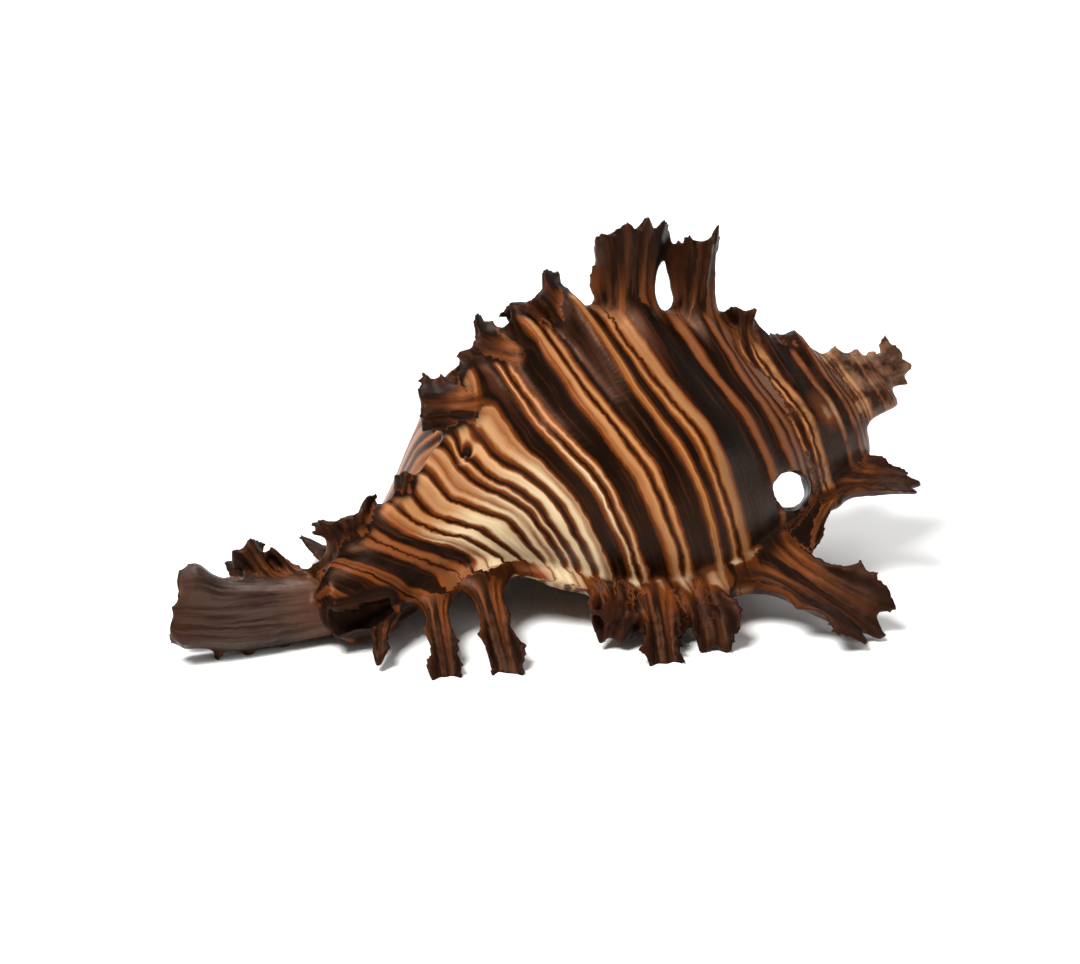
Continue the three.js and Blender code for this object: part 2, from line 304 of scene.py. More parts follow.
def frond_ridges(tree, given, since, outline):
    """Height of the ridges that climb the back of a varix, one to the root of each frond."""
    begin = add(tree, "SUBTRACT", VARIX_SPACING, given["Ridge back"])
    climb = add(tree, RANGE, since, begin, VARIX_SPACING, 0.0, 1.0)
    front = add(tree, RANGE, since, 0.0, given["Varix front"], 1.0, 0.0)
    climb = add(tree, "POWER", add(tree, "MAXIMUM", climb, front), 2.0)
    ridges = 0.0
    for place in RIDGE_PLACES:
        ridges = add(tree, "ADD", ridges, bell(tree, outline, place, given["Ridge width"]))
    return add(tree, "MULTIPLY", add(tree, "MULTIPLY", ridges, climb), given["Ridge rise"])


# %% Collar, hollow side and knobs
def collar_relief(tree, given, angle, distance):
    """Height of the collar that the older lip left round the root of the canal."""
    near = bell(tree, angle, given["Collar angle"], given["Collar reach"])
    low = add(tree, RANGE, distance, COLLAR_START, COLLAR_END, 0.0, given["Collar rise"], **SMOOTH)
    return add(tree, "MULTIPLY", near, low)


def sheet_end(tree, given, angle, size):
    """Where the sheet ends: at the canal, or for the older whorls at the collar's toothed edge."""
    tooth = add(tree, "MULTIPLY", add(tree, "PINGPONG", angle, COLLAR_TOOTH_HALF), 1 / COLLAR_TOOTH_HALF)
    length = given["Collar length"]
    longer = add(tree, RANGE, angle, COLLAR_LONG_ANGLE, -VARIX_SPACING, length, 0.0, **SMOOTH)
    older = add(tree, "DIVIDE", add(tree, "ADD", given["Collar distance"], longer), size)
    older = add(tree, "MINIMUM", older, PAINT_END - 1.0)
    older = add(tree, "SUBTRACT", older, add(tree, "MULTIPLY", tooth, given["Collar teeth"]))
    newer = add(tree, "GREATER_THAN", angle, -VARIX_SPACING)
    rest = add(tree, "SUBTRACT", OUTLINE_END, older)
    return add(tree, "MULTIPLY_ADD", newer, rest, older)


def hollow_side(tree, given, angle, outline):
    """The far side draws in towards the canal between the last two varices."""
    begin = add(tree, RANGE, angle, *HOLLOW_BEGINS, 0.0, 1.0, **SMOOTH)
    end = add(tree, RANGE, angle, *HOLLOW_FADES, 1.0, 0.0, **SMOOTH)
    dip = bell(tree, outline, HOLLOW_PLACE, HOLLOW_REACH)
    dip = add(tree, "MULTIPLY", dip, add(tree, "MULTIPLY", begin, end))
    dip = add(tree, "MULTIPLY", dip, given["Hollow side"])
    waist = add(tree, RANGE, outline, WAIST_START, WAIST_END, 0.0, given["Canal waist"], **SMOOTH)
    dip = add(tree, "MULTIPLY_ADD", waist, begin, dip)
    return add(tree, "MULTIPLY", dip, -1.0)


def knob_relief(tree, given, since, outline):
    """Height of the blunt knobs on the shoulder, half-way between two ridges."""
    half_way = bell(tree, since, VARIX_SPACING / 2, given["Knob width"])
    shoulder = bell(tree, outline, given["Shoulder"], given["Knob reach"])
    knob = add(tree, "MULTIPLY", half_way, shoulder)
    return add(tree, "MULTIPLY", knob, given["Knob rise"])


# %% [markdown]
# The dark bands lie in grooves. One function says where they run, and both the relief here and the paint
# further down use it, so the colour always lies in the groove. Pits between the fronds work the same way,
# and the paint darkens them as painted shade.

# %% Bands, cords and pits
def stripes(tree, outline, rows, softness):
    """1 on the stripes at each (middle, width), 0 between them."""
    found = 0.0
    for middle, width in rows:
        away = add(tree, "ABSOLUTE", add(tree, "SUBTRACT", outline, middle))
        stripe = add(tree, RANGE, away, width / 2, width / 2 + softness, 1.0, 0.0)
        found = add(tree, "MAXIMUM", found, stripe)
    return found


def dark_stripes(tree, banding):
    """1 on the dark bands, nearly 1 on the thin lines between them, and less on the faint ones."""
    dark = stripes(tree, banding, DARK_BANDS, BAND_SOFTNESS)
    for places, strength in ((THIN_LINES, LINE_STRENGTH), (FAINT_LINES, FAINT_STRENGTH)):
        lines = stripes(tree, banding, [(place, LINE_WIDTH) for place in places], LINE_SOFTNESS)
        dark = add(tree, "MAXIMUM", dark, add(tree, "MULTIPLY", lines, strength))
    return dark


def cord_relief(tree, given, banding):
    """Height of the fine cords, and of the tan bands that stand up between dark grooves."""
    fine = add(tree, "MULTIPLY", wave(tree, banding, given["Cord spacing"]), given["Cord rise"])
    groove = add(tree, "MULTIPLY", dark_stripes(tree, banding), given["Groove depth"])
    return add(tree, "SUBTRACT", fine, groove)


def pits(tree, since, banding):
    """1 in the pits between the roots of neighbouring fronds, 0 away from them."""
    found = 0.0
    for angle, place in PIT_PLACES:
        pit = bell(tree, since, angle, PIT_WIDTH)
        pit = add(tree, "MULTIPLY", pit, bell(tree, banding, place, PIT_REACH))
        found = add(tree, "MAXIMUM", found, pit)
    return found


def pit_relief(tree, given, since, banding):
    """Depth of the pits."""
    depth = add(tree, "MULTIPLY", given["Pit depth"], -1.0)
    return add(tree, "MULTIPLY", pits(tree, since, banding), depth)


def banding_place(tree, since, angle, outline):
    """The lip distance by which the bands run. They drift on a varix, waver a little, and lie closer
    together on the last third of a whorl."""
    drift = add(tree, RANGE, since, DRIFT_START, DRIFT_END, 0.0, DRIFT, **SMOOTH)
    waver = patches(tree, angle, WAVER_TURN, outline, WAVER_LENGTH, 2.0)
    waver = add(tree, RANGE, waver, 0.0, 1.0, -WAVER, WAVER)
    far_side = add(tree, RANGE, angle, *CLOSER_BEGINS, 0.0, CLOSER)
    closer = add(tree, "MAXIMUM", add(tree, "SUBTRACT", outline, CLOSER_PLACE), 0.0)
    closer = add(tree, "MULTIPLY", closer, far_side)
    place = add(tree, "ADD", add(tree, "SUBTRACT", outline, drift), waver)
    return add(tree, "ADD", place, closer)


# %% Body tree
def lip_radius(tree, outline):
    """The lip's outline as a drawn curve of radius against distance."""
    share = add(tree, RANGE, outline, OUTLINE_START, OUTLINE_END, 0.0, 1.0)
    drawn = add(tree, "ShaderNodeFloatCurve", 1.0, share)
    curve = drawn.node.mapping.curves[0]
    span = OUTLINE_END - OUTLINE_START
    for radius, distance in LIP_OUTLINE[1:-1]:
        curve.points.new((distance - OUTLINE_START) / span, radius / RADIUS_SCALE)
    curve.points[0].location = (0, LIP_OUTLINE[0][0] / RADIUS_SCALE)
    curve.points[-1].location = (1, LIP_OUTLINE[-1][0] / RADIUS_SCALE)
    drawn.node.mapping.update()
    return add(tree, "MULTIPLY", drawn, RADIUS_SCALE)


def keep_for_paint(tree, geometry, place, zone):
    """Keep a point's place on the spiral and its zone of the shell, for the paint to read."""
    for name, value in (("place", place), ("zone", zone)):
        sockets = {"Geometry": geometry, "Name": name, "Value": value}
        geometry = add(tree, STORE, named=sockets, **VECTORS)
    return geometry


def body_tree():
    tree, given = new_tree("Coiled body", BODY_SIZES)
    sheet = add(tree, "GeometryNodeMeshGrid", 1.0, 1.0, ANGLE_STEPS, OUTLINE_STEPS)
    spot = add(tree, POSITION)
    split = add(tree, SPLIT, spot).node.outputs
    angle = add(tree, RANGE, split["X"], -0.5, 0.5, given["Spire start"], 0.0)
    size = add(tree, "POWER", WHORL_EXPANSION, add(tree, "DIVIDE", angle, FULL_TURN))
    longest = sheet_end(tree, given, angle, size)
    outline = add(tree, RANGE, split["Y"], -0.5, 0.5, OUTLINE_START, longest)
    since = add(tree, "FLOORED_MODULO", angle, VARIX_SPACING)
    radius = lip_radius(tree, outline)
    banding = banding_place(tree, since, angle, outline)
    for relief in (
        varix_relief(tree, given, since, outline),
        knob_relief(tree, given, since, outline),
        cord_relief(tree, given, banding),
        pit_relief(tree, given, since, banding),
        frond_ridges(tree, given, since, outline),
        collar_relief(tree, given, angle, add(tree, "MULTIPLY", outline, size)),
        hollow_side(tree, given, angle, outline),
    ):
        radius = add(tree, "ADD", radius, relief)
    uneven = patches(tree, angle, UNEVEN_TURN, outline, UNEVEN_LENGTH, 2.0)
    uneven = add(tree, "SUBTRACT", uneven, 0.5)
    radius = add(tree, "MULTIPLY_ADD", uneven, given["Unevenness"], radius)
    edge = add(tree, "MAXIMUM", add(tree, "ABSOLUTE", split["X"]), add(tree, "ABSOLUTE", split["Y"]))
    inside = add(tree, "LESS_THAN", edge, GRID_EDGE)
    radius = add(tree, "MULTIPLY", radius, inside)
    placed = add(tree, "GeometryNodeGroup", angle, radius, outline, node_tree=spiral)
    place = add(tree, JOIN, angle, banding)
    sheet = keep_for_paint(tree, sheet, place, (0.0, 0.0, 0.0))
    sheet = add(tree, MOVE, named={"Geometry": sheet, "Position": placed})
    end_tree(tree, sheet)
    return tree


body = grow("coiled_body", body_tree(), BODY_SIZES)

# %% [markdown]
# ## The fronds
# Each varix carries a row of fronds: folded blades, smooth on the back and hollow in front, with toothed
# sides and a flared, fingered end. They could be cut by hand one by one, but they all follow one form, so
# a point is set at each root with its own sizes, a flat grid is put on every point, and one formula rolls
# each grid into a blade. A row below is one frond: radius and distance of its root and of its tip, half-
# width at both, how far it bends back, and how many fingers and side teeth it has.

# %% Frond rows
FROND_ROWS = {
    0: [
        ((17.5, 38.5), (23, 34), 2.6, 2.4, 4, 2, 2), ((22.5, 47.5), (30, 43), 3.6, 3.8, 6, 3, 3),
        ((23.5, 56), (28, 57), 2.8, 2.6, 5, 2, 2), ((22.5, 64), (26, 67), 2.8, 2.6, 5, 2, 2),
        ((20, 70.5), (22.5, 76), 2.6, 2.4, 5, 2, 2), ((9, 84), (15, 87), 2.2, 2, 4, 2, 2),
        ((5, 91), (11, 93.5), 2, 1.8, 3, 2, 2),
    ],
    -120: [
        ((15.6, 32.9), (26, 30.2), 3.3, 2.6, 0, 3, 1), ((18.8, 40.9), (29.3, 38.4), 3.9, 4.5, 0, 4, 1),
        ((19, 47.6), (25.2, 51), 3.7, 3.3, -1, 3, 4), ((17.6, 54.5), (20.9, 59.6), 3.6, 3.3, -1, 4, 3),
        ((14.6, 60), (15.6, 66.6), 3.3, 2.8, -0.5, 3, 3), ((5, 71), (8.6, 70), 1.5, 0.8, 0, 1, 1),
        ((1, 77), (6.2, 77.6), 3.2, 3.3, 0.5, 4, 2),
    ],
    -240: [
        ((15.6, 33.6), (27.9, 26), 3.6, 4, 0, 3, 2), ((13, 45.5), (20.4, 47.4), 8, 7, 0, 6, 0),
        ((14.8, 40.6), (24.4, 43.2), 2.8, 2.5, 0, 2, 1), ((14.4, 46.3), (26, 49.9), 2.3, 2, 0, 2, 1),
        ((12.6, 50.9), (19.2, 53.7), 2.6, 2.2, 0, 2, 1), ((7.6, 64.5), (20.8, 67.2), 1.9, 1.9, 0, 2, 2),
        ((7.4, 70.5), (19.2, 73.8), 1.7, 1.6, 0, 2, 2), ((8, 77), (13.4, 79.6), 1.5, 0.8, 0, 1, 1),
    ],
    -360: [((13.6, 29.4), (21, 24), 2.7, 2.8, 2, 3, 2)],
    -480: [((12.2, 27.2), (16.8, 26.8), 2.4, 1.8, 1, 2, 2), ((9, 22.6), (11.6, 21.2), 2, 1.6, 0, 2, 1)],
    -600: [((8, 21), (11.5, 12.6), 2.6, 2.4, 0, 3, 1), ((8.6, 20.6), (16, 28.4), 1.7, 1.7, 0, 1, 1)],
    -720: [((8.2, 18), (13, 12), 2.2, 2, 1, 2, 2)],
    -840: [((3.6, 13.4), (4, 7.4), 2.4, 2.6, 0, 3, 2)],
}
CANAL_FRONDS = {
    -90: [
        ((2.8, 86.6), (7.4, 88.8), 1.2, 1.9, 0, 2, 1), ((3.2, 83.6), (6.8, 85.8), 1.3, 0.7, 0, 1, 1),
    ],
    -276: [
        ((3, 94.4), (5.4, 95.6), 1, 0.5, 0, 1, 0), ((2.8, 91.6), (4.9, 92), 0.9, 0.5, 0, 1, 0),
        ((2.8, 87.4), (5.3, 87.6), 0.8, 0.4, 0, 1, 0), ((3.2, 81), (5.8, 80.6), 0.9, 0.4, 0, 1, 0),
    ],
}
SEED_STEP = 0.37


def apex_line(distance):
    return Vector((0, 0, -distance))


def frond_points():
    """One point for each frond, with its own sizes kept as vectors."""
    kept = {name: [] for name in ("root", "reach", "ahead", "widths", "ends", "born")}
    for rows, middle in ((FROND_ROWS, apex_line), (CANAL_FRONDS, axis_point)):
        for angle, fronds in rows.items():
            for root, tip, root_half, tip_half, bend, fingers, teeth in fronds:
                start, end = (middle(distance) + radial(angle) * radius for radius, distance in (root, tip))
                kept["root"].append(start)
                kept["reach"].append(end - start)
                kept["ahead"].append(forward(angle))
                kept["widths"].append((root_half, tip_half, bend))
                kept["ends"].append((fingers, teeth, len(kept["ends"]) * SEED_STEP))
                kept["born"].append((angle, root[1] / growth(angle), growth(angle)))
    mesh = bpy.data.meshes.new("frond_roots")
    mesh.from_pydata(kept["root"], [], [])
    for name, vectors in kept.items():
        layer = mesh.attributes.new(name, "FLOAT_VECTOR", "POINT")
        layer.data.foreach_set("vector", [number for vector in vectors for number in vector])
    return mesh


# %% Frond fingers and teeth
BLADE_SIDES, BLADE_STEPS = 72, 50
FROND_SIZES = {
    "Sunk root": 0.16, "Root thickness": 1.6, "Tip thickness": 0.85, "Stout half": 2.8, "Heel": 3.0,
    "Waist": 0.76, "Root flare": 0.7, "End flare": 0.24, "Fold": 1.05, "Widest fold": 3.2,
    "Finger length": 0.27, "Finger curl": 1.1, "Flute depth": 0.42, "Tooth length": 0.5, "Setback": 0.5,
    "End rounding": 0.12,
}
FINGER_BLUNTNESS, SHORTEST_FINGER, TOOTH_SHIFT, EDGE_SHARPNESS = 0.7, 0.45, 0.23, 6
TEETH_START, TEETH_END, TOOTH_GAIN = 0.2, 0.5, 4
FLUTES_START, FLUTES_END, CURL_BACK, CURL_AHEAD = 0.1, 0.6, -2, 1
ROOT_FLARE_POWER, END_FLARE_POWER, HEEL_POWER, CLOSING_POWER = 8, 5, 2.5, 10
FOLD_MIDDLE = 0.4


def fingers_and_teeth(tree, given, side, along, ends):
    """How far the end stands out in fingers and curls, and the sides stand out in teeth."""
    across = add(tree, RANGE, side, -1.0, 1.0, 0.0, ends["X"])
    finger = add(tree, "MULTIPLY", add(tree, "PINGPONG", across, 0.5), 2.0)
    finger = add(tree, "POWER", finger, FINGER_BLUNTNESS)
    own = add(tree, "ADD", add(tree, "FLOOR", across), ends["Z"])
    chance = add(tree, "ShaderNodeTexWhiteNoise", named={"W": own}, noise_dimensions="1D")
    length = add(tree, RANGE, chance, 0.0, 1.0, SHORTEST_FINGER, 1.0)
    near_end = add(tree, RANGE, along, 0.5, 1.0, 0.0, 1.0, **SMOOTH)
    finger = add(tree, "MULTIPLY", add(tree, "MULTIPLY", finger, length), near_end)
    curl = add(tree, "MULTIPLY", finger, add(tree, RANGE, chance, 0.0, 1.0, CURL_BACK, CURL_AHEAD))
    curl = add(tree, "MULTIPLY", curl, given["Finger curl"])
    flute = add(tree, "COSINE", add(tree, "MULTIPLY", across, math.tau))
    depth = add(tree, RANGE, along, FLUTES_START, FLUTES_END, 0.0, given["Flute depth"])
    flute = add(tree, "MULTIPLY", flute, depth)
    shift = add(tree, "MULTIPLY_ADD", side, TOOTH_SHIFT, ends["Z"])
    row = add(tree, "MULTIPLY_ADD", along, ends["Y"], shift)
    tooth = add(tree, "POWER", add(tree, "PINGPONG", row, 0.5), 2.0)
    edge = add(tree, "POWER", add(tree, "ABSOLUTE", side), EDGE_SHARPNESS)
    past_root = add(tree, RANGE, along, TEETH_START, TEETH_END, 0.0, TOOTH_GAIN, **SMOOTH)
    tooth = add(tree, "MULTIPLY", add(tree, "MULTIPLY", tooth, edge), past_root)
    some = add(tree, "GREATER_THAN", ends["Y"], 0.5)
    tooth = add(tree, "MULTIPLY", add(tree, "MULTIPLY", tooth, some), given["Tooth length"])
    finger = add(tree, "MULTIPLY", finger, given["Finger length"])
    rounding = add(tree, "MULTIPLY", add(tree, "MULTIPLY", side, side), given["End rounding"])
    finger = add(tree, "SUBTRACT", finger, add(tree, "MULTIPLY", rounding, near_end))
    return finger, tooth, add(tree, "ADD", curl, flute)


# %% Frond width and thickness
def half_width(tree, given, along, widths):
    """Half-width of a blade: spread at the root, narrower at the waist, flared at the end."""
    left = add(tree, "SUBTRACT", 1.0, along)
    waist = add(tree, "MINIMUM", widths["X"], widths["Y"])
    waist = add(tree, "MULTIPLY", add(tree, "MULTIPLY", waist, given["Waist"]), 2.0)
    at_root = add(tree, "MULTIPLY", add(tree, "MULTIPLY", left, left), widths["X"])
    at_waist = add(tree, "MULTIPLY", add(tree, "MULTIPLY", left, along), waist)
    at_end = add(tree, "MULTIPLY", add(tree, "MULTIPLY", along, along), widths["Y"])
    half = add(tree, "ADD", add(tree, "ADD", at_root, at_waist), at_end)
    flare = add(tree, "MULTIPLY", add(tree, "POWER", left, ROOT_FLARE_POWER), given["Root flare"])
    end_flare = add(tree, "POWER", along, END_FLARE_POWER)
    flare = add(tree, "MULTIPLY_ADD", end_flare, given["End flare"], flare)
    return add(tree, "MULTIPLY_ADD", half, flare, half)


def thickness(tree, given, along, face, widths):
    """Distance of a face from the blade's middle: a stout heel at the root, a rounded edge at the end."""
    stout = add(tree, "MINIMUM", add(tree, "DIVIDE", widths["X"], given["Stout half"]), 1.0)
    root = add(tree, "MULTIPLY", given["Root thickness"], stout)
    thick = add(tree, RANGE, along, 0.0, 1.0, root, add(tree, "MINIMUM", root, given["Tip thickness"]))
    closing = add(tree, "SUBTRACT", 1.0, add(tree, "POWER", along, CLOSING_POWER))
    thick = add(tree, "MULTIPLY", thick, add(tree, "POWER", closing, 0.5))
    heel = add(tree, "POWER", add(tree, "SUBTRACT", 1.0, along), HEEL_POWER)
    deep = add(tree, "MULTIPLY", given["Heel"], add(tree, "POWER", stout, 3.0))
    heel = add(tree, "MULTIPLY", heel, deep)
    heel = add(tree, "MULTIPLY", heel, add(tree, "MINIMUM", face, 0.0))
    return add(tree, "MULTIPLY_ADD", thick, face, heel)


def blade_offsets(tree, given, turn, along, own):
    """Offsets of a point of a blade: across it, along the growth, and along its length as a share."""
    side = add(tree, "COSINE", turn)
    half = half_width(tree, given, along, own["widths"])
    finger, tooth, curl = fingers_and_teeth(tree, given, side, along, own["ends"])
    wide = add(tree, "MULTIPLY", half, add(tree, "ADD", tooth, 1.0))
    across = add(tree, "MULTIPLY", wide, side)
    bow = add(tree, "SUBTRACT", add(tree, "MULTIPLY", side, side), FOLD_MIDDLE)
    bow = add(tree, "MULTIPLY", bow, add(tree, "MINIMUM", half, given["Widest fold"]))
    bow = add(tree, "MULTIPLY", add(tree, "MULTIPLY", bow, given["Fold"]), along)
    thick = thickness(tree, given, along, add(tree, "SINE", turn), own["widths"])
    ahead = add(tree, "ADD", add(tree, "ADD", thick, bow), curl)
    bend = add(tree, "MULTIPLY", add(tree, "MULTIPLY", along, along), own["widths"]["Z"])
    ahead = add(tree, "SUBTRACT", add(tree, "SUBTRACT", ahead, bend), given["Setback"])
    return side, half, across, ahead, finger


# %% Frond tree
def frond_tree():
    tree, given = new_tree("Fronds", {"Points": None, **FROND_SIZES})
    blade = add(tree, "GeometryNodeMeshGrid", 1.0, 1.0, BLADE_SIDES, BLADE_STEPS)
    spot = add(tree, SPLIT, add(tree, POSITION)).node.outputs
    turn = add(tree, RANGE, spot["X"], -0.5, 0.5, 0.0, math.tau)
    sunk = add(tree, "MULTIPLY", given["Sunk root"], -1.0)
    step = add(tree, RANGE, spot["Y"], -0.5, 0.5, sunk, 1.0)
    not_foot = add(tree, "GREATER_THAN", spot["Y"], -GRID_EDGE)
    flat = add(tree, JOIN, turn, step, not_foot)
    sockets = {"Geometry": blade, "Name": "blade", "Value": flat}
    blade = add(tree, STORE, named=sockets, **VECTORS)
    copies = add(tree, "GeometryNodeInstanceOnPoints", named={"Points": given["Points"], "Instance": blade})
    copies = add(tree, "GeometryNodeRealizeInstances", copies)

    kept = {
        name: add(tree, ATTRIBUTE, name, **VECTORS)
        for name in ("root", "reach", "ahead", "widths", "ends", "born", "blade")
    }
    own = {name: add(tree, SPLIT, socket).node.outputs for name, socket in kept.items()}
    turn, step, not_foot = own["blade"]
    along = add(tree, "MAXIMUM", step, 0.0)
    side, half, across, ahead, finger = blade_offsets(tree, given, turn, along, own)
    across = add(tree, "MULTIPLY", across, not_foot)
    ahead = add(tree, "MULTIPLY", ahead, not_foot)

    sideways = add(tree, VECTOR, kept["reach"], kept["ahead"], operation="CROSS_PRODUCT")
    sideways = add(tree, VECTOR, sideways, operation="NORMALIZE")
    total = add(tree, "ADD", step, finger)
    position = kept["root"]
    for direction, amount in ((kept["reach"], total), (sideways, across), (kept["ahead"], ahead)):
        moved = add(tree, VECTOR, direction, named={"Scale": amount}, operation="SCALE")
        position = add(tree, VECTOR, position, moved, operation="ADD")

    spread = add(tree, "DIVIDE", add(tree, "MULTIPLY", side, half), own["born"]["Z"])
    outline = add(tree, "SUBTRACT", own["born"]["Y"], spread)
    place = add(tree, JOIN, own["born"]["X"], outline, side)
    copies = keep_for_paint(tree, copies, place, add(tree, JOIN, along))
    copies = add(tree, MOVE, named={"Geometry": copies, "Position": position})
    copies = add(tree, "GeometryNodeMergeByDistance", named={"Geometry": copies, "Distance": MERGE_DISTANCE})
    end_tree(tree, copies)
    return tree


fronds = grow("fronds", frond_tree(), FROND_SIZES, frond_points())

# %% [markdown]
# ## The canal
# The snail breathes through a long tube at the lower end. A tube follows a path, so a circle is swept
# along a curve whose radius changes. Fine ribs run along it, an ear stands up near its end, and the end
# is cut at a slant with a toothed rim. The angle round the tube is kept for the paint. With these details
# set to zero, the same tree makes the round cutters of the next step.

# %% Canal sizes and path
CANAL_ROOT = 66
CANAL_RADII = [3, 3.5, 3.8, 3.8, 3.7, 3.6, 3.7, 4, 4.2, 3.9]
TUBE_SIZES = {
    "Path steps": 90, "Tube sides": 96, "Ribs": 26.0, "Rib rise": 0.16, "Roughness": 0.4, "Rim teeth": 2.0,
    "End slant": 2.2, "End lean": 1.2, "Ear rise": 1.6, "Ear place": 95.2, "Ear reach": 1.7, "Shade": 0.0,
}
RIM_TOOTH_COUNT, RIM_LENGTH, SLANT_START, LUMPS_PER_MM = 10, 2, 88, 0.35


def path_curve(name, centres, radii):
    """A smooth curve through the middle of a tube, with the tube's radius at each point."""
    curve = bpy.data.curves.new(name, "CURVE")
    curve.dimensions = "3D"
    spline = curve.splines.new("NURBS")
    spline.points.add(len(centres) - 1)
    for point, centre, radius in zip(spline.points, centres, radii):
        point.co = (*centre, 1)
        point.radius = radius
    spline.use_endpoint_u = True
    spline.order_u = 3
    return curve


# %% Tube tree
def tube_tree():
    tree, given = new_tree("Ribbed tube", {"Path": None, **TUBE_SIZES})
    sockets = {"Curve": given["Path"], "Count": given["Path steps"]}
    path = add(tree, "GeometryNodeResampleCurve", named=sockets)
    ring = add(tree, "GeometryNodeCurvePrimitiveCircle", named={"Resolution": given["Tube sides"]})
    radius = add(tree, "GeometryNodeInputRadius")
    sockets = {"Curve": path, "Profile Curve": ring, "Scale": radius, "Fill Caps": True}
    tube = add(tree, "GeometryNodeCurveToMesh", named=sockets)
    spot = add(tree, POSITION)
    split = add(tree, SPLIT, spot).node.outputs
    distance = add(tree, "MULTIPLY", split["Z"], -1.0)
    axis = add(tree, "GeometryNodeGroup", 0.0, 0.0, distance, node_tree=spiral)
    off_axis = add(tree, "SUBTRACT", split["X"], add(tree, SPLIT, axis))
    around = add(tree, "ARCTAN2", split["Y"], off_axis)
    rib = add(tree, "COSINE", add(tree, "MULTIPLY", around, given["Ribs"]))
    rough = add(tree, NOISE, named={"Vector": spot, "Scale": LUMPS_PER_MM, "Detail": 2.0})
    rough = add(tree, "MULTIPLY", add(tree, "SUBTRACT", rough, 0.5), given["Roughness"])
    lift = add(tree, "MULTIPLY_ADD", rib, given["Rib rise"], rough)
    upper = add(tree, "POWER", add(tree, "MAXIMUM", add(tree, "COSINE", around), 0.0), 2.0)
    ear = add(tree, "MULTIPLY", bell(tree, distance, given["Ear place"], given["Ear reach"]), upper)
    lift = add(tree, "MULTIPLY_ADD", ear, given["Ear rise"], lift)
    normal = add(tree, "GeometryNodeInputNormal")
    offset = add(tree, VECTOR, normal, named={"Scale": lift}, operation="SCALE")
    rim = add(tree, RANGE, distance, CANAL_LENGTH - RIM_LENGTH, CANAL_LENGTH, 0.0, given["Rim teeth"])
    tooth = add(tree, "PINGPONG", add(tree, "MULTIPLY", around, RIM_TOOTH_COUNT / math.tau), 0.5)
    tooth = add(tree, "MULTIPLY", add(tree, "MULTIPLY", tooth, rim), -2.0)
    slant = add(tree, "MULTIPLY", add(tree, "SINE", around), given["End slant"])
    slant = add(tree, "MULTIPLY_ADD", add(tree, "COSINE", around), given["End lean"], slant)
    near_end = add(tree, RANGE, distance, SLANT_START, CANAL_LENGTH, 0.0, 1.0, **SMOOTH)
    tooth = add(tree, "SUBTRACT", tooth, add(tree, "MULTIPLY", slant, near_end))
    offset = add(tree, VECTOR, offset, add(tree, JOIN, 0.0, 0.0, tooth), operation="ADD")
    place = add(tree, JOIN, around, distance)
    # A Shade above 0 marks a cutter's cut faces, which the paint turns near black as painted shade.
    outside = add(tree, "LESS_THAN", given["Shade"], 0.5)
    zone = add(tree, JOIN, given["Shade"], outside)
    tube = keep_for_paint(tree, tube, place, zone)
    tube = add(tree, MOVE, named={"Geometry": tube, "Offset": offset})
    end_tree(tree, tube)
    return tree


def along_axis(start, end, count):
    return [axis_point(start + (end - start) * i / (count - 1)) for i in range(count)]


ribbed_tube = tube_tree()
canal_path = along_axis(CANAL_ROOT, CANAL_LENGTH, len(CANAL_RADII))
canal = grow("canal", ribbed_tube, TUBE_SIZES, path_curve("canal_path", canal_path, CANAL_RADII))

# %% [markdown]
# ## The hollows
# The mouth is an oval that winds back into the last whorl and narrows to a blind end. It uses the same
# spiral as the body. The canal is open along its under side by a narrow slit, the old canal's end is an
# open hole, and below the spire light shows through a gap between the body and a frond. The feet are worn
# level where the shell rests. These are cutters: closed forms that will be taken away from the shell.

# %% Mouth tree
MOUTH_STEPS, MOUTH_SIDES = 90, 120
MOUTH_TAPER, MOUTH_TEETH_END = 2.5, -30
MOUTH_SIZES = {
    "Centre radius": 15.0, "Centre distance": 58.0, "Half width": 6.2, "Half length": 11.0,
    "Depth": 105.0, "Opening": 12.0, "Teeth": 15.0, "Tooth rise": 0.035,
}


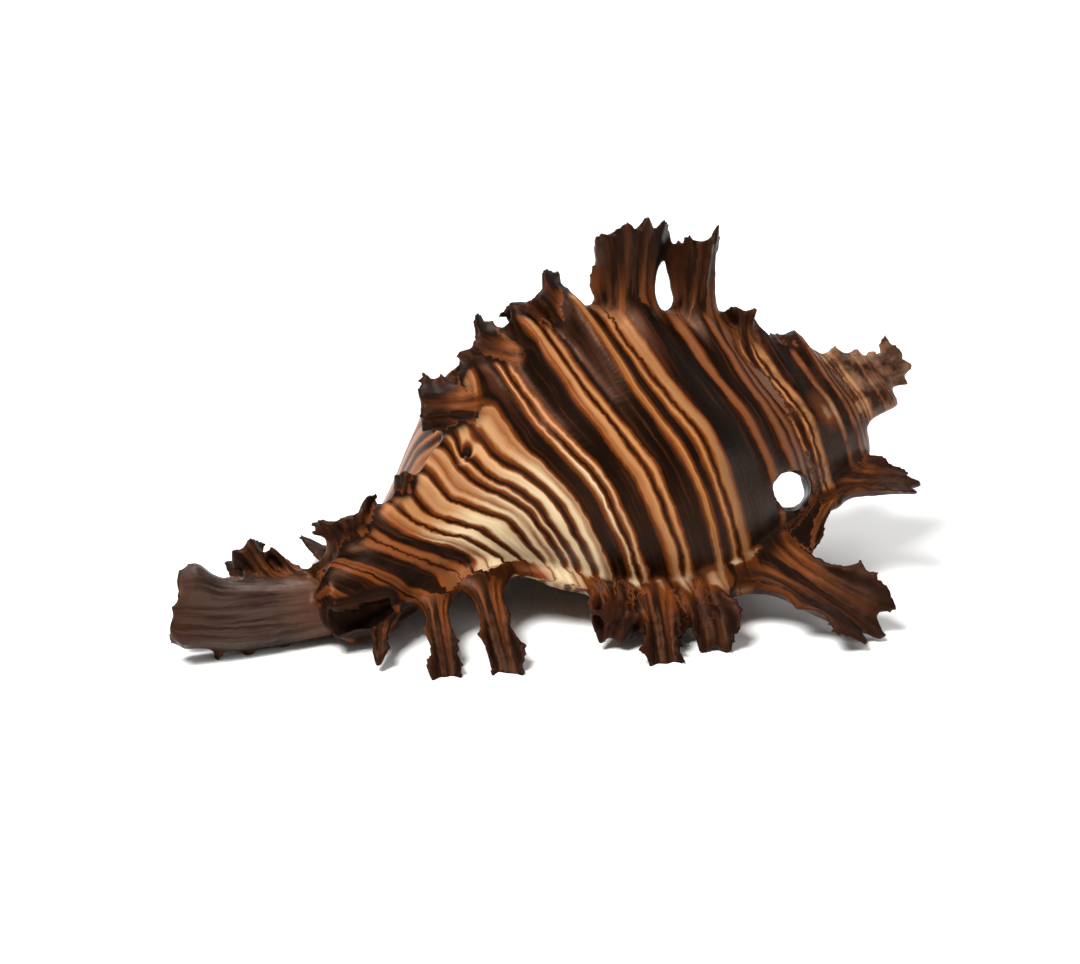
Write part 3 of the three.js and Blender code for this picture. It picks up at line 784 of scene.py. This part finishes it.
def mouth_tree():
    tree, given = new_tree("Mouth", MOUTH_SIZES)
    sheet = add(tree, "GeometryNodeMeshGrid", 1.0, 1.0, MOUTH_STEPS, MOUTH_SIDES)
    spot = add(tree, SPLIT, add(tree, POSITION)).node.outputs
    deep = add(tree, "MULTIPLY", given["Depth"], -1.0)
    angle = add(tree, RANGE, spot["X"], -0.5, 0.5, deep, given["Opening"])
    turn = add(tree, RANGE, spot["Y"], -0.5, 0.5, 0.0, math.tau)
    share = add(tree, "MAXIMUM", add(tree, "DIVIDE", angle, deep), 0.0)
    share = add(tree, "SUBTRACT", 1.0, add(tree, "POWER", share, MOUTH_TAPER))
    share = add(tree, "POWER", add(tree, "MAXIMUM", share, 0.0), 0.5)
    not_end = add(tree, "LESS_THAN", spot["X"], GRID_EDGE)
    share = add(tree, "MULTIPLY", share, not_end)
    tooth = add(tree, "COSINE", add(tree, "MULTIPLY", turn, given["Teeth"]))
    near_lip = add(tree, RANGE, angle, MOUTH_TEETH_END, 0.0, 0.0, 1.0)
    tooth = add(tree, "MULTIPLY", add(tree, "MULTIPLY", tooth, near_lip), given["Tooth rise"])
    share = add(tree, "MULTIPLY", share, add(tree, "ADD", tooth, 1.0))
    wide = add(tree, "MULTIPLY", add(tree, "COSINE", turn), given["Half width"])
    radius = add(tree, "MULTIPLY_ADD", wide, share, given["Centre radius"])
    long = add(tree, "MULTIPLY", add(tree, "SINE", turn), given["Half length"])
    outline = add(tree, "MULTIPLY_ADD", long, share, given["Centre distance"])
    placed = add(tree, "GeometryNodeGroup", angle, radius, outline, node_tree=spiral)
    place = add(tree, JOIN, angle, outline)
    sheet = keep_for_paint(tree, sheet, place, (0.0, 0.0, 1.0))
    sheet = add(tree, MOVE, named={"Geometry": sheet, "Position": placed})
    sheet = add(tree, "GeometryNodeMergeByDistance", named={"Geometry": sheet, "Distance": MERGE_DISTANCE})
    end_tree(tree, sheet)
    return tree


mouth = grow("mouth", mouth_tree(), MOUTH_SIZES)

# %% Bores, slit and ground
PAST_END = CANAL_LENGTH + 3
BORE_START, BORE_RADII = 78, [1.6, 1.6, 1.6, 1.6, 1.6, 1.8, 2.4, 3.2, 3.5]
SLIT_START, SLIT_WIDTH, SLIT_DEPTH = 72, 0.9, 9
# The bore and the hole take a Shade of 2: their cut faces get painted shade.
BORE_SIZES = {
    **TUBE_SIZES, "Rib rise": 0.0, "Roughness": 0.8, "Rim teeth": 0.0, "End slant": 0.0, "End lean": 0.0,
    "Ear rise": 0.0, "Shade": 2.0,
}
bore_path = along_axis(BORE_START, PAST_END, len(BORE_RADII))
bore = grow("canal_bore", ribbed_tube, BORE_SIZES, path_curve("bore_path", bore_path, BORE_RADII))
HOLE_ANGLE, HOLE_OFF_AXIS, HOLE_PLACES, HOLE_RADII = -206, 7.2, (76, 78, 81, 86), [0.9, 1.6, 1.7, 1.8]
hole_path = [axis_point(distance) + radial(HOLE_ANGLE) * HOLE_OFF_AXIS for distance in HOLE_PLACES]
hole = grow("old_canal_hole", ribbed_tube, BORE_SIZES, path_curve("hole_path", hole_path, HOLE_RADII))
# The gap follows the photograph's line of sight, so that light shows through it.
GAP_START, GAP_DIRECTION = Vector((-1.6, 13, -28.2)), Vector((-0.393, -0.871, 0.294))
GAP_DEPTHS, GAP_RADII = (-4, 2, 9, 16, 26), [2.6, 2.3, 2.2, 2.5, 4.2]
GAP_SIZES = {**BORE_SIZES, "Roughness": 2.0}
gap_path = [GAP_START + GAP_DIRECTION * depth for depth in GAP_DEPTHS]
gap = grow("gap_by_spire", ribbed_tube, GAP_SIZES, path_curve("gap_path", gap_path, GAP_RADII))


def slit_cutter(steps=24):
    """A thin wall under the canal's bore, from the mouth to the canal's end."""
    corners = []
    for centre in along_axis(SLIT_START, PAST_END, steps):
        for depth in (0, SLIT_DEPTH):
            for half in (-SLIT_WIDTH / 2, SLIT_WIDTH / 2):
                corners.append(centre + Vector((-depth, half, 0)))
    faces = [(0, 1, 3, 2), tuple(4 * (steps - 1) + i for i in (2, 3, 1, 0))]
    for step in range(steps - 1):
        for a, b in ((0, 1), (1, 3), (3, 2), (2, 0)):
            faces.append((4 * step + b, 4 * step + a, 4 * step + a + 4, 4 * step + b + 4))
    mesh = bpy.data.meshes.new("canal_slit")
    mesh.from_pydata(corners, [], faces)
    return bpy.data.objects.new("canal_slit", mesh)


def ground_cutter(half=200, depth=40):
    """What lies below the resting plane has been worn off the feet."""
    corners = [(x, y, z) for x in (-half, half) for y in (-half, half) for z in (-depth, 0)]
    faces = [(0, 1, 3, 2), (4, 6, 7, 5), (0, 4, 5, 1), (2, 3, 7, 6), (0, 2, 6, 4), (1, 5, 7, 3)]
    mesh = bpy.data.meshes.new("ground")
    mesh.from_pydata(corners, [], faces)
    mesh.transform(resting_place.inverted())
    return bpy.data.objects.new("ground", mesh)


slit, ground = slit_cutter(), ground_cutter()
for cutter in (slit, ground):
    bpy.context.scene.collection.objects.link(cutter)
cutters = [mouth, bore, hole, gap, slit, ground]
print("cutters:", [cutter.name for cutter in cutters])

# %% [markdown]
# ## Melting the parts into one skin
# A real shell is one piece, with no seams where a frond leaves its varix. Joining the parts with Booleans
# would leave sharp creases, so a voxel remesh melts them into one even skin, and then the hollows are cut
# out of it.

# %% Melt and cut
VOXEL = 0.475


def gather_tree(pieces):
    tree, _ = new_tree("Gather parts", {"Own": None})
    join = add(tree, "GeometryNodeJoinGeometry").node
    for piece in pieces:
        info = add(tree, "GeometryNodeObjectInfo", piece, transform_space="ORIGINAL").node
        tree.links.new(info.outputs["Geometry"], join.inputs["Geometry"])
    end_tree(tree, join.outputs[0])
    return tree


parts = grow("parts", gather_tree([body, fronds, canal]))
surfaces = grow("surfaces", gather_tree([body, fronds, canal, mouth, bore, hole]))
skin = bpy.data.objects.new("murex_shell", parts.data.copy())
bpy.context.scene.collection.objects.link(skin)
melt = skin.modifiers.new("melt", "REMESH")
melt.mode = "VOXEL"
melt.voxel_size = VOXEL
for cutter in cutters:
    cut = skin.modifiers.new(cutter.name, "BOOLEAN")
    cut.operation = "DIFFERENCE"
    cut.solver = "MANIFOLD"
    cut.object = cutter
skin = plain_mesh(skin)
print("skin has", len(skin.data.polygons), "faces")

# %% [markdown]
# ## Carrying the places over to the skin
# Remeshing forgets which part a point came from. Every point of the skin looks up the nearest point of
# the old surfaces and takes its place and zone from there. Loose specks are dropped, the creases at the
# roots of the fronds are rounded off, the whorls are evened out a little, and the fronds get a rough,
# scaly surface.

# %% Specks and roots
SPECK_POINTS = 2000
ROOT_BLUR_STEPS, ZONE_BLUR_STEPS = 12, 14
SCALES_START, SCALES_END = 0.1, 0.6
EVENING_END = 0.05
SKIN_SIZES = {
    "Scale size": 1.1, "Scale rise": 0.22, "Bare end": 0.02, "Root start": 0.1, "Root end": 0.45,
    "Evening": 0.12,
}


def drop_specks(tree, skin):
    """Delete the loose specks that melting leaves where a finger was too thin."""
    island = add(tree, "GeometryNodeInputMeshIsland")
    points = add(tree, "GeometryNodeAccumulateField", 1.0, named={"Group ID": island}, out="Total")
    speck = add(tree, "LESS_THAN", points, float(SPECK_POINTS))
    return add(tree, "GeometryNodeDeleteGeometry", named={"Geometry": skin, "Selection": speck})


def soften_roots(tree, given, skin):
    """Round off the crease where a frond leaves the shell, and even out the whorls a little."""
    zone = add(tree, ATTRIBUTE, "zone", **VECTORS)
    along, on_canal, _ = add(tree, SPLIT, zone).node.outputs
    at_root = add(tree, RANGE, along, given["Bare end"], given["Root start"], 0.0, 1.0, **SMOOTH)
    past = add(tree, RANGE, along, given["Root start"], given["Root end"], 1.0, 0.0, **SMOOTH)
    at_root = add(tree, "MULTIPLY", at_root, past)
    covered = add(tree, "MAXIMUM", along, on_canal)
    bare = add(tree, RANGE, covered, 0.0, EVENING_END, given["Evening"], 0.0)
    weight = add(tree, "MAXIMUM", at_root, bare)
    sockets = {"Value": add(tree, POSITION), "Iterations": ROOT_BLUR_STEPS, "Weight": weight}
    smooth = add(tree, "GeometryNodeBlurAttribute", named=sockets, **VECTORS)
    return add(tree, MOVE, named={"Geometry": skin, "Position": smooth})


# %% Surface tree
def surface_tree():
    tree, given = new_tree("Shell surface", {"Skin": None, **SKIN_SIZES})
    old = add(tree, "GeometryNodeObjectInfo", surfaces, transform_space="ORIGINAL").node.outputs["Geometry"]
    spot = add(tree, POSITION)
    geometry = drop_specks(tree, given["Skin"])
    whorls = add(tree, "GeometryNodeObjectInfo", body, transform_space="ORIGINAL").node.outputs["Geometry"]
    found = {}
    for label, mesh, name in (("place", old, "place"), ("zone", old, "zone"), ("whorl", whorls, "place")):
        value = add(tree, ATTRIBUTE, name, **VECTORS)
        sockets = {"Mesh": mesh, "Value": value, "Sample Position": spot}
        found[label] = add(tree, "GeometryNodeSampleNearestSurface", named=sockets, **VECTORS)
    parts_of = {name: add(tree, SPLIT, socket).node.outputs for name, socket in found.items()}
    apart = add(tree, "MAXIMUM", parts_of["zone"]["Y"], parts_of["zone"]["Z"])
    together = add(tree, "SUBTRACT", 1.0, apart)
    mixed = []
    for axis in "XY":
        whorl = add(tree, "MULTIPLY", parts_of["whorl"][axis], together)
        mixed.append(add(tree, "MULTIPLY_ADD", parts_of["place"][axis], apart, whorl))
    place = add(tree, JOIN, *mixed, parts_of["place"]["Z"])
    sockets = {"Value": found["zone"], "Iterations": ZONE_BLUR_STEPS}
    soft = add(tree, "GeometryNodeBlurAttribute", named=sockets, **VECTORS)
    geometry = keep_for_paint(tree, geometry, place, soft)
    geometry = soften_roots(tree, given, geometry)
    zone = add(tree, ATTRIBUTE, "zone", **VECTORS)
    on_frond = add(tree, RANGE, add(tree, SPLIT, zone), SCALES_START, SCALES_END, 0.0, 1.0)
    scale = add(tree, "DIVIDE", 1.0, given["Scale size"])
    scaly = add(tree, NOISE, named={"Vector": spot, "Scale": scale, "Detail": 2.0})
    scaly = add(tree, "MULTIPLY", add(tree, "SUBTRACT", scaly, 0.5), on_frond)
    lift = add(tree, "MULTIPLY", scaly, given["Scale rise"])
    offset = add(tree, VECTOR, add(tree, "GeometryNodeInputNormal"), named={"Scale": lift}, operation="SCALE")
    geometry = add(tree, MOVE, named={"Geometry": geometry, "Offset": offset})
    geometry = add(tree, "GeometryNodeSetShadeSmooth", named={"Geometry": geometry})
    end_tree(tree, geometry)
    return tree


# %% The shell in its place
shell = grow("murex_shell", surface_tree(), SKIN_SIZES, skin.data)
shell.data.transform(Matrix.Scale(MM, 4) @ resting_place)
for helper in [body, fronds, canal, parts, surfaces, skin, *cutters]:
    bpy.data.objects.remove(helper)
shell.name = "murex_shell"
shell.data.calc_loop_triangles()
print("shell has", len(shell.data.loop_triangles), "triangles")

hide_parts("shell")
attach(shell, "root")

# %% [markdown]
# ## The finish: banded shell
# A murex shell is calcite and aragonite laid down in thin sheets: a satin surface that shines where it is
# smooth. Its bands are made by colour glands fixed along the lip, so each band keeps its place on the lip
# while the shell turns. That makes the paint simple: colour depends mostly on the distance along the lip,
# with a little drift and waver. The growth angle adds the rest: painted shade in the seam at each varix, a
# cream patch on one side that is partly a painted highlight, painted highlights on the near varix, and
# darker and bleached patches on the spire. An image could not follow the spiral so closely.

# %% Colours
def tone(code):
    """An sRGB hex colour as the linear values that a shader works with."""
    channels = [int(code[i : i + 2], 16) / 255 for i in (1, 3, 5)]
    return (*[c / 12.92 if c <= 0.04045 else ((c + 0.055) / 1.055) ** 2.4 for c in channels], 1)


GROUND_TONES = [
    (31.5, "#5c4638"), (40, "#694d38"), (48, "#845c3a"), (53, "#a97a48"), (60, "#a17248"), (66, "#ad8058"),
    (72, "#b0865c"), (78, "#a87e58"), (83, "#986c44"), (88, "#764a2a"), (95, "#4c2a16"), (114, "#2c160c"),
]
CREAM_HIGHLIGHT_TONE, FRINGE_TONE, BAND_TONE, BAND_STREAK_TONE = "#c6b18c", "#6e3510", "#070301", "#301407"
COLOUR_MIX = {"kind": "ShaderNodeMix", "data_type": "RGBA", "out": 2}
# Where the share and the two colours stand among the inputs of a Mix node.
SHARE, FIRST, SECOND = 0, 6, 7


def coats(tree, ground, *layers):
    """Lay coats on a ground, each as (where, colour). A colour is a hex code or a node's output."""
    for where, colour in layers:
        first, second = (tone(c) if isinstance(c, str) else c for c in (ground, colour))
        ground = add(tree, named={SHARE: where, FIRST: first, SECOND: second}, **COLOUR_MIX)
    return ground


def ground_colour(tree, outline):
    """The colour between the stripes, which changes slowly along the lip."""
    share = add(tree, RANGE, outline, OUTLINE_START, PAINT_END, 0.0, 1.0)
    made = add(tree, "ShaderNodeValToRGB", share)
    elements = made.node.color_ramp.elements
    elements.remove(elements[1])
    elements[0].color = tone(GROUND_TONES[0][1])
    for distance, code in GROUND_TONES[1:]:
        elements.new((distance - OUTLINE_START) / (PAINT_END - OUTLINE_START)).color = tone(code)
    return made


# %% Banded paint
# The cream patch is partly the shell's own cream and partly a painted highlight.
CREAM_START, CREAM_END, CREAM_SOFTNESS = 66, 87, 1.5
CREAM_BEGINS, CREAM_FADES = (-262, -240), (-178, -150)
LAST_THIRD_BEGINS, LAST_THIRD_TINT = (-120, -112), 0.5
SEAM_SHADE_AHEAD, SEAM_SHADE_BEHIND, SEAM_SHADE_STRENGTH = (1, 6), (117, 119.5), 0.9
STREAK_TURN, STREAK_WIDTH, STREAK_RANGE, STREAK_STRENGTH = 40, 0.7, (0.3, 0.7), 0.22
HIGHLIGHT_WASH, PIT_SHADE_BEGIN, PIT_SHADE_RANGE = 0.7, -240, (0.3, 0.6)
FRINGE_RANGE, DARKEST_RANGE, BAND_STREAK_RANGE = (0.05, 0.5), (0.4, 0.95), (0.55, 1)


def cream_and_highlight_patch(tree, angle, banding):
    """1 on the cream patch, partly a painted highlight, at the low end of the last whorl's middle third; 0
    away.
    """
    middle, half = (CREAM_START + CREAM_END) / 2, (CREAM_END - CREAM_START) / 2
    away = add(tree, "ABSOLUTE", add(tree, "SUBTRACT", banding, middle))
    cream_and_highlight = add(tree, RANGE, away, half - CREAM_SOFTNESS, half + CREAM_SOFTNESS, 1.0, 0.0, **SMOOTH)
    begin = add(tree, RANGE, angle, *CREAM_BEGINS, 0.0, 1.0, **SMOOTH)
    fade = add(tree, RANGE, angle, *CREAM_FADES, 1.0, 0.0, **SMOOTH)
    return add(tree, "MULTIPLY", cream_and_highlight, add(tree, "MULTIPLY", fade, begin))


def darkness(tree, angle, banding, highlight, streak):
    """How dark the paint is: 1 on the stripes and, as painted shade, in the pits; less in the painted shade
    of the seams at each varix.
    """
    since = add(tree, "FLOORED_MODULO", angle, VARIX_SPACING)
    # Painted shade in the crease just ahead of and just behind each varix front.
    ahead = add(tree, RANGE, since, *SEAM_SHADE_AHEAD, SEAM_SHADE_STRENGTH, 0.0)
    behind = add(tree, RANGE, since, *SEAM_SHADE_BEHIND, 0.0, SEAM_SHADE_STRENGTH)
    not_highlight = add(tree, "SUBTRACT", 1.0, highlight)
    seam_shade = add(tree, "MULTIPLY", add(tree, "MAXIMUM", ahead, behind), not_highlight)
    dark = add(tree, "MULTIPLY_ADD", streak, STREAK_STRENGTH, dark_stripes(tree, banding))
    # The stripes fade under the painted highlights.
    dark = add(tree, "MULTIPLY", dark, add(tree, "MULTIPLY_ADD", highlight, -HIGHLIGHT_WASH, 1.0))
    dark = add(tree, "MAXIMUM", dark, seam_shade)
    # Painted shade in the pits between the fronds of the newer whorls.
    newer = add(tree, "GREATER_THAN", angle, PIT_SHADE_BEGIN)
    pit_shade = add(tree, "MULTIPLY", pits(tree, since, banding), newer)
    return add(tree, "MAXIMUM", dark, add(tree, RANGE, pit_shade, *PIT_SHADE_RANGE, 0.0, 1.0))


def banded_colour(tree, angle, banding, highlight):
    """The bands, lines and ground colour of the whorls, and the streaks that run along them."""
    streak = patches(tree, angle, STREAK_TURN, banding, STREAK_WIDTH, 3.0)
    streak = add(tree, RANGE, streak, *STREAK_RANGE, 0.0, 1.0)
    cream_and_highlight = add(tree, "MAXIMUM", cream_and_highlight_patch(tree, angle, banding), highlight)
    last_third = add(tree, RANGE, angle, *LAST_THIRD_BEGINS, 0.0, LAST_THIRD_TINT)
    dark = darkness(tree, angle, banding, highlight, streak)
    fringe = add(tree, RANGE, dark, *FRINGE_RANGE, 0.0, 1.0)
    darkest = add(tree, RANGE, dark, *DARKEST_RANGE, 0.0, 1.0)
    band = coats(tree, BAND_TONE, (add(tree, RANGE, streak, *BAND_STREAK_RANGE, 0.0, 1.0), BAND_STREAK_TONE))
    layers = [(cream_and_highlight, CREAM_HIGHLIGHT_TONE), (last_third, FRINGE_TONE), (fringe, FRINGE_TONE), (darkest, band)]
    return coats(tree, ground_colour(tree, banding), *layers), streak


# %% [markdown]
# Fronds are dark brown with red-brown streaks along them and dull tips. The canal is a grey-brown with
# fine lines along it, warmer where it leaves the shell and dark at its end. The mouth is lined with
# smooth pale porcelain.

# %% Frond and canal paint
FROND_TONE, FROND_STREAK_TONE = "#080302", "#40200e"
FROND_ROOT_TONE, FROND_TIP_TONE = "#7e431d", "#160b07"
FROND_STREAK_WIDTH, FROND_STREAK_LENGTH, FROND_STREAK_RANGE = 1 / 3.5, 1 / 0.9, (0.42, 0.68)
FROND_ROOT_RANGE, FROND_ROOT_TINT = (0.2, 0.7), 0.8
FROND_TIP_RANGE, FROND_TIP_TINT = (0.7, 1.05), 0.7
CANAL_TONE, CANAL_LINE_TONE = "#3e3029", "#180e0a"
CANAL_ROOT_TONE, CANAL_END_TONE = "#6c4736", "#2a140a"
CANAL_LINE_WIDTH, CANAL_LINE_RADIUS, CANAL_LINE_LENGTH, CANAL_LINE_RANGE = 0.7, 4.3, 1 / 0.12, (0.4, 0.65)
CANAL_ROOT_RANGE, CANAL_ROOT_TINT = (80, 88), 0.7
CANAL_END_RANGE, CANAL_END_TINT = (94, 98.5), 0.8


def frond_colour(tree, side, along):
    """Dark brown, with streaks that are warmer near the root, and a dull tip."""
    streak = patches(tree, side, FROND_STREAK_WIDTH, along, FROND_STREAK_LENGTH, 3.0)
    streak = add(tree, RANGE, streak, *FROND_STREAK_RANGE, 0.0, 1.0)
    near_root = add(tree, RANGE, along, *FROND_ROOT_RANGE, FROND_ROOT_TINT, 0.0)
    at_tip = add(tree, RANGE, along, *FROND_TIP_RANGE, 0.0, FROND_TIP_TINT)
    warm = coats(tree, FROND_STREAK_TONE, (near_root, FROND_ROOT_TONE))
    return coats(tree, FROND_TONE, (streak, warm), (at_tip, FROND_TIP_TONE))


def canal_colour(tree, around, distance):
    """Grey-brown with dark lines, warmer at the root and dark at the end."""
    line_angle = CANAL_LINE_WIDTH / CANAL_LINE_RADIUS
    lines = patches(tree, around, line_angle, distance, CANAL_LINE_LENGTH, 3.0)
    lines = add(tree, RANGE, lines, *CANAL_LINE_RANGE, 0.0, 1.0)
    at_root = add(tree, RANGE, distance, *CANAL_ROOT_RANGE, CANAL_ROOT_TINT, 0.0)
    at_end = add(tree, RANGE, distance, *CANAL_END_RANGE, 0.0, CANAL_END_TINT)
    layers = [(lines, CANAL_LINE_TONE), (at_root, CANAL_ROOT_TONE), (at_end, CANAL_END_TONE)]
    return coats(tree, CANAL_TONE, *layers)


# %% [markdown]
# Pale beads of painted highlight stand in a row where the near varix meets the foot fronds, and one more
# lies on the spire. The spire, the oldest part, is darker in some patches and bleached in others.

# %% Painted highlights and the spire's patches
# Painted highlights: growth angle, lip distance, and the reach along each.
HIGHLIGHT_SPOTS = [
    (-239, 55.5, 6, 2.2), (-237, 59.8, 3.5, 1.2), (-237, 63.6, 3.5, 1.1), (-236, 67.2, 3, 0.9),
    (-238, 77, 6, 3.4), (-236, 47, 2, 1.2), (-236, 51, 1.5, 0.8), (-541, 43, 14, 3),
]
# Darker patches on the older whorls, and bleached ones near the spire's tip.
SPIRE_DARK_TONE, SPIRE_DARK_START, SPIRE_DARK_END, SPIRE_PATCH_SIZE = "#2c170e", -400, -560, 2.2
SPIRE_DARK_RANGE, SPIRE_DARK_TINT = (0.42, 0.66), 0.8
BLEACHED_TONE, BLEACHED_START, BLEACHED_END = "#9c7458", -600, -760
BLEACHED_RANGE, BLEACHED_TINT = (0.6, 0.32), 0.5


def painted_highlights(tree, angle, outline):
    """1 on the painted highlights, at each (growth angle, lip distance) with a reach both ways."""
    spots = 0.0
    for middle, place, turn_reach, lip_reach in HIGHLIGHT_SPOTS:
        spot = bell(tree, angle, middle, turn_reach)
        spot = add(tree, "MULTIPLY", spot, bell(tree, outline, place, lip_reach))
        spots = add(tree, "MAXIMUM", spots, spot)
    return spots


def old_whorls(tree, angle, colour):
    """The whorls of the spire are darker in patches, and bleached in patches near its tip."""
    spot = add(tree, "ShaderNodeTexCoord", out="Object")
    scale = 1 / (SPIRE_PATCH_SIZE * MM)
    patch = add(tree, NOISE, named={"Vector": spot, "Scale": scale, "Detail": 3.0})
    old = add(tree, RANGE, angle, SPIRE_DARK_START, SPIRE_DARK_END, 0.0, 1.0)
    dark_patches = add(tree, "MULTIPLY", add(tree, RANGE, patch, *SPIRE_DARK_RANGE, 0.0, SPIRE_DARK_TINT), old)
    oldest = add(tree, RANGE, angle, BLEACHED_START, BLEACHED_END, 0.0, 1.0)
    bleached = add(tree, RANGE, patch, *BLEACHED_RANGE, 0.0, BLEACHED_TINT)
    bleached = add(tree, "MULTIPLY", bleached, oldest)
    return coats(tree, colour, (dark_patches, SPIRE_DARK_TONE), (bleached, BLEACHED_TONE))


# %% The shell's finish
# Banded calcite gives the eye a soft, warm shine on the whorls and less of it on the rougher fronds.
SHELL_IOR, SHELL_SHINE, SHINE_TONE = 1.57, 0.2, "#d89878"
SHELL_ROUGHNESS, FROND_ROUGHNESS = (0.3, 0.46), 0.12
HOLLOW_SHADE_TONE, HOLLOW_SHADE_RANGE = "#060302", (1.1, 1.7)
LINING_TONE, LINING_DEEP_TONE, LINING_DEPTH = "#f1e6dc", "#d9bfae", -90
HIGHLIGHT_ON_FROND, HIGHLIGHT_COVER, FROND_EDGE = (0.4, 0.75), 0.9, (0.01, 0.22)
GROWTH_LINE_TURN, GROWTH_LINE_LENGTH = 1 / 0.6, 2
GROWTH_LINE_STRENGTH, GROWTH_LINE_DEPTH = 0.15, 0.2 * MM


def paint_shell(material):
    material.use_nodes = True
    tree = material.node_tree
    shader = tree.nodes["Principled BSDF"].inputs
    place = add(tree, "ShaderNodeAttribute", attribute_name="place", out="Vector")
    zone = add(tree, "ShaderNodeAttribute", attribute_name="zone", out="Vector")
    angle, outline, side = add(tree, SPLIT, place).node.outputs
    along, on_canal, lining = add(tree, SPLIT, zone).node.outputs
    near_root = add(tree, RANGE, along, *HIGHLIGHT_ON_FROND, 1.0, 0.0)
    # Painted highlights, kept off all but the roots of the fronds.
    highlight = add(tree, "MULTIPLY", painted_highlights(tree, angle, outline), near_root)
    colour, streak = banded_colour(tree, angle, outline, highlight)
    on_frond = add(tree, RANGE, along, *FROND_EDGE, 0.0, 1.0, **SMOOTH)
    on_frond = add(tree, "MULTIPLY", on_frond, add(tree, "MULTIPLY_ADD", highlight, -HIGHLIGHT_COVER, 1.0))
    colour = coats(tree, colour, (on_frond, frond_colour(tree, side, along)))
    colour = old_whorls(tree, angle, colour)
    # Painted shade: the cut faces of the bore and the old canal's hole go near black.
    hollow_shade = add(tree, RANGE, along, *HOLLOW_SHADE_RANGE, 0.0, 1.0)
    deep = add(tree, RANGE, angle, LINING_DEPTH, 0.0, 1.0, 0.0)
    porcelain = coats(tree, LINING_TONE, (deep, LINING_DEEP_TONE))
    layers = [(hollow_shade, HOLLOW_SHADE_TONE), (on_canal, canal_colour(tree, angle, outline)), (lining, porcelain)]
    tree.links.new(coats(tree, colour, *layers), shader["Base Color"])
    rough = add(tree, RANGE, streak, 0.0, 1.0, *SHELL_ROUGHNESS)
    rough = add(tree, "MULTIPLY_ADD", on_frond, FROND_ROUGHNESS, rough)
    tree.links.new(rough, shader["Roughness"])
    shader["IOR"].default_value = SHELL_IOR
    shader["Specular IOR Level"].default_value = SHELL_SHINE
    shader["Specular Tint"].default_value = tone(SHINE_TONE)
    lines = patches(tree, angle, GROWTH_LINE_TURN, outline, GROWTH_LINE_LENGTH, 3.0)
    sockets = {"Strength": GROWTH_LINE_STRENGTH, "Distance": GROWTH_LINE_DEPTH, "Height": lines}
    tree.links.new(add(tree, "ShaderNodeBump", named=sockets), shader["Normal"])


paint_shell(shell_finish)
print("finish has", len(shell_finish.node_tree.nodes), "nodes")

# %% [markdown]
# ## Floor, light and camera
# The shell lies on a plain white floor that runs into a white world, in soft light from large panels. The
# camera stands where the photograph's did: to the left of the shell's side and a little above it.

# %% Floor
# Matt white paper gives the eye nothing but the shell's shadow.
FLOOR_HALF, PAPER_TONE, PAPER_ROUGHNESS = 3, "#f2f2f0", 0.9


def plain_floor():
    corners = [(x * FLOOR_HALF, y * FLOOR_HALF, 0) for x, y in ((-1, -1), (1, -1), (1, 1), (-1, 1))]
    mesh = bpy.data.meshes.new("floor")
    mesh.from_pydata(corners, [], [(0, 1, 2, 3)])
    floor = bpy.data.objects.new("floor", mesh)
    bpy.context.scene.collection.objects.link(floor)
    paper = bpy.data.materials.new("matt white paper")
    paper.use_nodes = True
    shader = paper.node_tree.nodes["Principled BSDF"]
    shader.inputs["Base Color"].default_value = tone(PAPER_TONE)
    shader.inputs["Roughness"].default_value = PAPER_ROUGHNESS
    mesh.materials.append(paper)


plain_floor()

# %% Light
CENTRE = Vector((0, 0, 20)) * MM
WORLD_STRENGTH = 0.3
# Each panel: azimuth and elevation in degrees, distance and size in metres, power in watts.
PANELS = {
    "key_panel": (-60, 55, 0.7, 0.24, 8),
    "fill_panel": (40, 35, 0.9, 0.6, 1.5),
    "back_panel": (160, 55, 0.8, 0.5, 4),
}


def towards(azimuth_angle, elevation):
    """Unit vector from the shell to a point seen at that azimuth and elevation."""
    a, e = radians(azimuth_angle), radians(elevation)
    return Vector((sin(a) * cos(e), -cos(a) * cos(e), sin(e)))


def panel(name, azimuth_angle, elevation, distance, size, power):
    light = bpy.data.lights.new(name, "AREA")
    light.size = size
    light.energy = power
    lamp = bpy.data.objects.new(name, light)
    lamp.location = CENTRE + towards(azimuth_angle, elevation) * distance
    lamp.rotation_euler = (CENTRE - lamp.location).to_track_quat("-Z", "Y").to_euler()
    bpy.context.scene.collection.objects.link(lamp)


for name, sizes in PANELS.items():
    panel(name, *sizes)
world = bpy.data.worlds.new("white studio")
world.use_nodes = True
background = world.node_tree.nodes["Background"].inputs
background["Color"].default_value = (1, 1, 1, 1)
background["Strength"].default_value = WORLD_STRENGTH
bpy.context.scene.world = world
bpy.context.scene.view_settings.view_transform = "Standard"

# %% Camera
CAMERA_AZIMUTH, CAMERA_ELEVATION = -22, 20
CAMERA_DISTANCE = 0.45
CAMERA_AIM = Vector((-1.6, -1.2, 15.3)) * MM
FIELD_WIDTH = 0.1242
camera_data = bpy.data.cameras.new("camera")
camera_data.sensor_fit = "HORIZONTAL"
camera_data.lens = camera_data.sensor_width * CAMERA_DISTANCE / FIELD_WIDTH
camera = bpy.data.objects.new("camera", camera_data)
camera.location = CAMERA_AIM + towards(CAMERA_AZIMUTH, CAMERA_ELEVATION) * CAMERA_DISTANCE
camera.rotation_euler = (CAMERA_AIM - camera.location).to_track_quat("-Z", "Y").to_euler()
bpy.context.scene.collection.objects.link(camera)
bpy.context.scene.camera = camera
print("camera lens", round(camera_data.lens, 1), "mm")
